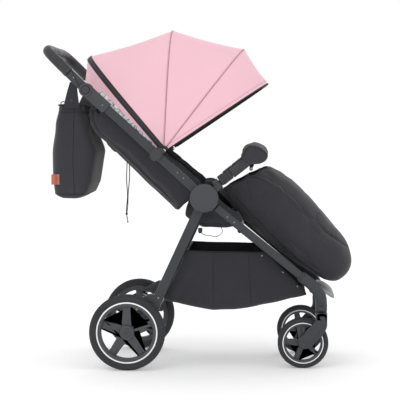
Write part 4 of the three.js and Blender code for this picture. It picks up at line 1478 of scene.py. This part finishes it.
def make_basket():
    rows = []
    for j in range(97):
        near = basket_section(j / 96)
        far = [Vector((p.x, -p.y, p.z)) for p in near[-2::-1]]
        rows.append([at(*p) for p in near + far])
    cloth = piece("basket_cloth", *skin(rows, closed_ring=False, caps=False), BASKET_CLOTH)
    back_rows = []
    for p in basket_section(0)[:26]:
        back_rows.append([at(p.x, p.y * (1 - k / 12), p.z) for k in range(25)])
    back = piece("basket_back", *skin(back_rows, closed_ring=False, caps=False), BASKET_CLOTH)
    cloth = joined("basket_cloth", cloth, back)
    bm = bmesh.new()
    bm.from_mesh(cloth.data)
    bmesh.ops.remove_doubles(bm, verts=bm.verts, dist=0.0004)
    bmesh.ops.dissolve_degenerate(bm, edges=bm.edges, dist=1e-6)
    bm.to_mesh(cloth.data)
    bm.free()
    crumple(cloth, 70, 3.5, 2.2, (0.8, 1, 1.5))
    shade(thickened(cloth, 1.6, 1), 60)
    extras = []
    for side in SIDES:
        for line in ([(-8, 384), (-8, 300), (-8, 204)], [(108, 382), (112, 300), (118, 210)]):
            extras += stitched_seam(cloth, line_on(cloth, line, side), 6, 1.0, 0.7)
        rim = [polyline(BASKET_RIM, k / 120) for k in range(121)]
        edge = nearest_on(cloth, [at(p.x, side * basket_half_width(p.x), p.y) for p in rim], 0)
        extras.append(cord_along("rim_binding", edge, 2.6, PIPING))
        for x, z in ((152, 374), (222, 318), (270, 270)):
            p = line_on(cloth, [(x, z), (x + 1, z)], side, 1)
            if p:
                x, z = (p[0].x - FORWARD) * 1000, p[0].z * 1000
                y = p[0].y * 1000
                extras.append(disc("snap", (x, z), 2.6, y, y + side * 2, 0.8, GREY_PLASTIC, 24))
    back_rim = [at(BASKET_BACK_X, BASKET_BACK_HALF_WIDTH * (k / 30 - 1), 390) for k in range(61)]
    extras.append(cord_along("back_binding", nearest_on(cloth, back_rim, 0), 2.6, PIPING))
    cloth = joined("basket_cloth", cloth, *extras)
    stands_for(cloth, "charcoal_fabric", "basket")


make_basket()


# Bag

BAG_LOWEST, BAG_FLOOR, BAG_TOP = 561, 563, 868
BAG_BACK = [(BAG_FLOOR, -530), (575, -544), (626, -549), (710, -549), (800, -540), (BAG_TOP, -526)]
BAG_FRONT = [(BAG_FLOOR, -446), (575, -430), (610, -414), (711, -397), (790, -420), (BAG_TOP, -444)]


def height_value(table, z):
    """A value at height z on a smooth line through (height, value) pairs."""
    if z <= table[0][0]:
        return table[0][1]
    for (z0, v0), (z1, v1) in zip(table, table[1:]):
        if z <= z1:
            u = (z - z0) / (z1 - z0)
            return v0 + (v1 - v0) * (3 * u * u - 2 * u ** 3 if z0 > 700 else u)
    return table[-1][1]


def bag_ring(z, inset=0.0, count=96):
    back, front = height_value(BAG_BACK, z) + inset, height_value(BAG_FRONT, z) - inset
    half = 163 - inset + 2 * math.sin(max(0, min(1, (z - BAG_FLOOR) / (BAG_TOP - BAG_FLOOR))) * math.pi)
    ring = []
    for i in range(count):
        a = (i + 0.5) / count * 2 * math.pi
        c = signed_power(math.cos(a), 0.42)
        s = signed_power(math.sin(a), 0.3)
        ring.append(Vector(((back + front) / 2 + (front - back) / 2 * c, half * s, z)))
    return ring


def make_bag():
    heights = [BAG_LOWEST, 561.4, 562.6, 565, 569, 575, 582] + [582 + 286 * k / 44 for k in range(1, 45)]
    outer = []
    for z in heights:
        inset = 12 * max(0, (572 - z) / 11) ** 2
        outer.append(bag_ring(z, inset))
    middle = Vector(((BAG_BACK[0][1] + BAG_FRONT[0][1]) / 2, 0, BAG_LOWEST))
    floor = [[middle.lerp(p, share) for p in outer[0]] for share in (0.001, 0.35, 0.7, 0.9)]
    inner = [bag_ring(z, 5) for z in (BAG_TOP, 780, 690, 640, 600, 575, 569)]
    rings = [[at(*p) for p in ring] for ring in floor + outer + inner]
    bag = piece("bag_body", *skin(rings), BAG_CLOTH)
    crumple(bag, 110, 3.4, 4.4, (1, 1, 0.7))
    crumple(bag, 42, 1.3, 9.1, (1, 1, 0.45))
    extras = []
    for side in SIDES:
        extras += stitched_seam(bag,
                                line_on(bag, [(-470, 860), (-473, 760), (-474, 660), (-470, 572)], side),
                                7, 1.6, 0.8)
    for z, width in ((846, 6), (574, 5)):
        band = bag_ring(z)
        line = nearest_on(bag, [at(*p) for p in band + band[:1]])
        extras += stitched_seam(bag, line, width, 1.0, 0.8)
    extras += [make_bag_strap(side) for side in (-1, 1)]
    tag = plate("bag_tag", [(-546.5, 607), (-533, 607), (-533, 641), (-546.5, 641)], -169.6, -167.6,
                TAG_LEATHER, 0.7, 3)
    wrap = bag_wrap(607, 641)
    extras += [tag, wrap]
    extras.append(stitch_row("tag_stitching",
                             [Vector(p) for p in ((-544, -169.9, 610), (-536, -169.9, 610),
                                                                  (-535.5, -169.9, 638),
                                                  (-544, -169.9, 638))], 3, 0.4, TAG_LEATHER))
    bag = joined("bag_body", bag, *extras)
    shade(bag, 60)
    stands_for(bag, "charcoal_fabric", "bag")
    lid = plate("bag_lid_cloth", [(-526, 868.8), (-444, 868.8), (-447, 873), (-485, 875.4), (-523, 873)],
                -160, 160, BAG_CLOTH, 1.6, 2)
    zip_line = [Vector((-485 + 36 * math.cos(a), 150 * math.sin(a), 0)) for a in round_angles(60)]
    tree = surface_of(lid)
    hits = [tree.ray_cast(at(p.x, p.y, 900), Vector((0, 0, -1)))[0] for p in zip_line]
    coil = cord_along("lid_zip", [h + Vector((0, 0, 0.0006)) for h in hits if h], 1.3, ZIP_TAPE)
    puller = plate("zip_pull", [(-530, 876), (-521, 876), (-521, 872.6), (-530, 872.6)], -3, 3, STEEL,
                   0.8)
    lid = joined("bag_lid_cloth", lid, coil, puller)
    stands_for(lid, "charcoal_fabric", "bag_lid")


def bag_wrap(low, high):
    """The part of the tag that turns round the back corner."""
    rows = []
    for k in range(12):
        z = low + (high - low) * k / 11
        ring = bag_ring(z, -1.2, 192)
        picked = [p for p in ring if p.x < -520 and p.y < -120]
        picked.sort(key=lambda p: math.atan2(p.y + 120, p.x + 520))
        rows.append([at(*p) for p in picked])
    count = min(len(r) for r in rows)
    rows = [r[:count] for r in rows]
    patch = piece("bag_tag_wrap", *skin(rows, closed_ring=False, caps=False), TAG_LEATHER)
    return thickened(patch, 1.4, -1)


def make_bag_strap(side):
    """A strap that narrows from the bag up to the handle arm, with its snap."""
    rows = []
    for z, x, half, y in ((860, -478, 26, 168.6), (868, -478, 26, 169.4), (892, -474, 21.5, 187),
                          (915, -470, 17, 205), (932, -466, 14, 217), (945, -463, 12, 224.5)):
        section = []
        for k in range(13):
            u = -1 + k / 6
            section.append((x + half * u, z, 1.3 - 0.4 * abs(u) ** 3))
        outside = [at(px, side * (y + t), pz) for px, pz, t in section]
        inside = [at(px, side * (y - t), pz) for px, pz, t in section[::-1]]
        rows.append(outside + inside)
    strap = piece("bag_strap", *skin(rows), BAG_CLOTH)
    snap = disc("strap_snap", (-474, 886), 5.5, side * 184.5, side * 187.5, 1, BLACK_PLASTIC, 40)
    ring = [Vector((-505 + 9 * math.cos(a), side * 167.5, 872 + 10 * math.sin(a)))
            for a in round_angles(24)]
    loop = cord_along("bag_ring", [at(*p) for p in ring], 1.6, BLACK_PLASTIC)
    edges = []
    for u in (-0.86, 0.86):
        line = [Vector((x + half * u, side * (y + 1.5), z)) for z, x, half, y in
                ((864, -478, 26, 168.8), (868, -478, 26, 169.4), (892, -474, 21.5, 187),
                 (915, -470, 17, 205), (938, -465, 13, 221))]
        edges.append(stitch_row("strap_stitches", line, 4, 0.45))
    return joined("bag_strap", strap, snap, loop, *edges)


make_bag()


# Canopy

def canopy_point(section, place, inset, shift=0.0, foot=16.0):
    angle, reach = section
    turn = place * math.pi / 2 * 0.96
    power = 2 / 3.1
    side = math.copysign(abs(math.sin(turn)) ** power, place) * (CANOPY_HALF_WIDTH - inset)
    height = math.cos(turn) ** power * (reach - inset)
    if abs(place) > 0.9999:
        side, height = math.copysign(CANOPY_HALF_WIDTH - inset, place), foot
    c, s = math.cos(math.radians(angle)), math.sin(math.radians(angle))
    return Vector((CANOPY_PIVOT[0] + c * height - s * shift, side,
                   CANOPY_PIVOT[1] + s * height + c * shift))


def arch_places(count=44):
    """Places round the arch, closer together where it turns down."""
    half = [1 - (1 - k / count) ** 1.9 for k in range(count)]
    half = [p * 0.9995 for p in half] + [1.0]
    return [-p for p in half[:0:-1]] + half


PLACES = arch_places()
CLOTH_THICKNESS = 1.5


def canopy_cloth(name, from_section, to_section, start, end, sag, lining, columns=20, seed=0.0):
    """Cloth between two bows, pink outside, with a lining inside. It sags between them."""
    def sheet_rows(depth):
        rows = []
        for place in PLACES:
            a = canopy_point(from_section, place, depth, start)
            b = canopy_point(to_section, place, depth, -end)
            row = []
            for i in range(columns + 1):
                t = i / columns
                p = a.lerp(b, t)
                middle = Vector((CANOPY_PIVOT[0], 0, CANOPY_PIVOT[1]))
                arch = math.cos(place * math.pi / 2)
                dip = sag * math.sin(math.pi * t) * (0.35 + 0.65 * arch)
                wave = noise.noise(p / 90 + Vector((seed, 0, 0))) * 1.8 * math.sin(math.pi * t)
                inward = (middle - p).normalized()
                row.append(at(*(p + inward * (dip + wave))))
            rows.append(row)
        return rows
    outside, inside = sheet_rows(0), sheet_rows(CLOTH_THICKNESS)
    width = columns + 1
    points = [p for rows in (outside, inside) for row in rows for p in row]
    shift = len(PLACES) * width
    faces, kinds = [], []
    for j in range(len(PLACES) - 1):
        for i in range(columns):
            a = j * width + i
            quad = (a, a + 1, a + width + 1, a + width)
            faces += [quad, tuple(shift + k for k in reversed(quad))]
            kinds += [0, 1]
    border = list(range(width))
    border += [j * width + columns for j in range(1, len(PLACES))]
    border += [(len(PLACES) - 1) * width + i for i in range(columns - 1, -1, -1)]
    border += [j * width for j in range(len(PLACES) - 2, 0, -1)]
    for a, b in zip(border, border[1:] + border[:1]):
        faces.append((b, a, shift + a, shift + b))
        kinds.append(0)
    obj = piece(name, points, faces, PINK, 60)
    obj.data.materials.append(lining)
    for face, kind in zip(obj.data.polygons, kinds):
        face.material_index = kind
    return obj


def fan_blend(obj, back, front, back_angle, front_angle):
    """Bakes the cloth's placement into its mesh."""
    start, end = canopy_point((back_angle, 400), 0, 0), canopy_point((front_angle, 400), 0, 0)
    at(*start)
    at(*end)
    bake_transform(obj)


def bow_line(section, inset, shift=0.0):
    return [at(*canopy_point(section, p, inset, shift)) for p in PLACES]


def make_canopy():
    rear = canopy_cloth("canopy_rear_cloth", REAR_BOW, REAR_EDGE, 8, -9, 0, LINING, 10, 1.0)
    for face in rear.data.polygons:
        side, height = abs(face.center.y) * 1000, face.center.z * 1000
        behind = face.index // 2 % 10
        if face.material_index == 0 and behind > 3 and (side > 180 or height < 900):
            face.material_index = 1
    stands_for(rear, "pink_fabric", "canopy_rear_panel")
    back = canopy_cloth("canopy_back_cloth", APEX_BOW, REAR_BOW, 0.4, 7.6, 5, LINING, 22, 2.0)
    front = canopy_cloth("canopy_front_cloth", SECOND_BOW, APEX_BOW, 0.4, 0.4, 5, LINING, 20, 3.0)
    visor = canopy_cloth("canopy_visor_cloth", FRONT_BOW, SECOND_BOW, -4, 0.4, 3, VISOR_LINING, 14, 4.0)
    for cloth, node, bodies, angles, flat, area in (
        (back, "canopy_back_panel", ("upper_frame", "canopy_apex"), (REAR_BOW[0], APEX_BOW[0]),
         (1.06, 0.31), 0.185),
        (front, "canopy_front_panel", ("canopy_apex", "canopy_second"), (APEX_BOW[0], SECOND_BOW[0]),
         (1.08, 0.26), 0.163),
        (visor, "canopy_visor", ("canopy_second", "canopy_front"), (SECOND_BOW[0], FRONT_BOW[0]),
         (1.05, 0.15), 0.094),
    ):
        fan_blend(cloth, *bodies, *angles)
        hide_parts(node)
    for node in ("canopy_apex_bow", "canopy_second_bow", "canopy_front_bow"):
        for place in frame["nodes"][node].material_slots:
            place.material = BLACK_PLASTIC
    for name, section, body, radius in (("apex_seam", APEX_BOW, "canopy_apex", 1.1),
                                        ("second_seam", SECOND_BOW, "canopy_second", 1.1)):
        seam = cord_along("canopy_" + name, bow_line(section, -0.4), radius, PINK_SEAM)
        beside = stitch_row("canopy_" + name + "_stitches", in_mm(bow_line(section, -0.7, 3.2)), 4.5,
                            0.45, PINK_SEAM)
        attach(joined("canopy_" + name, seam, beside), body)
    binding = cord_along("canopy_front_binding", bow_line(FRONT_BOW, 0.4, -4), 2.0, PIPING)
    hem = stitch_row("canopy_front_hem", in_mm(bow_line(FRONT_BOW, -0.6, 8)), 4.5, 0.45, PINK_SEAM)
    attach(binding, "canopy_front")
    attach(hem, "canopy_front")
    make_zip_band()


def make_zip_band():
    """The black zip band on the rear bow, with its coil and two rows of stitches."""
    rings = []
    for place in PLACES:
        section = []
        for shift, inset in ((-9.5, -0.6), (-8.5, -1.8), (-1.8, -2.0), (1.8, -2.0), (8.5, -1.8),
                             (9.5, -0.6), (8.8, 2.4), (-8.8, 2.4)):
            section.append(at(*canopy_point(REAR_BOW, place, inset, shift, 8)))
        rings.append(section)
    band = piece("canopy_zip_band", *skin(rings), ZIP_TAPE, 50)
    coil = cord_along("zip_coil", [at(*canopy_point(REAR_BOW, p, -2.4, 0, 8)) for p in PLACES], 1.5,
                      BLACK_PLASTIC)
    edges = [stitch_row("zip_stitches",
                        in_mm([at(*canopy_point(REAR_BOW, p, -2.0, s, 8)) for p in PLACES]), 4.5, 0.4)
             for s in (-7.2, 7.2)]
    stands_for(joined("canopy_zip_band", band, coil, *edges), "pink_fabric", "canopy_rear_bow")


make_canopy()

for place in frame["nodes"]["leg_rest"].material_slots:
    place.material = BLACK_PLASTIC


# Floor and light

def make_floor():
    paint = bpy.data.materials.new("floor_paint")
    paint.use_nodes = True
    shader = paint.node_tree.nodes["Principled BSDF"]
    shader.inputs["Base Color"].default_value = (0.9, 0.9, 0.9, 1)
    shader.inputs["Roughness"].default_value = 0.9
    shader.inputs["Emission Color"].default_value = (1, 1, 1, 1)
    shader.inputs["Emission Strength"].default_value = 0.17
    corners = ((-8, -8, 0), (8, -8, 0), (8, 12, 0), (-8, 12, 0))
    piece("floor", [Vector(p) for p in corners], [(0, 1, 2, 3)], paint)


def make_softbox(name, place, target, size, power):
    data = bpy.data.lights.new(name, "AREA")
    data.shape = "SQUARE"
    data.size = size
    data.energy = power
    lamp = linked(name, data)
    lamp.location = place
    lamp.rotation_euler = (Vector(target) - Vector(place)).to_track_quat("-Z", "Y").to_euler()


def make_light():
    world = bpy.data.worlds.new("studio")
    world.use_nodes = True
    world.node_tree.nodes["Background"].inputs["Color"].default_value = (1, 1, 1, 1)
    world.node_tree.nodes["Background"].inputs["Strength"].default_value = 1.0
    bpy.context.scene.world = world
    bpy.context.scene.view_settings.view_transform = "Standard"
    make_softbox("key", (-1.6, -3.0, 3.0), (0, 0, 0.6), 1.8, 14)
    make_softbox("fill", (2.6, -2.6, 1.8), (0, 0, 0.5), 2.2, 3)
    make_softbox("back", (0.4, 3.0, 2.6), (0, 0, 0.6), 2.0, 10)


make_floor()
make_light()
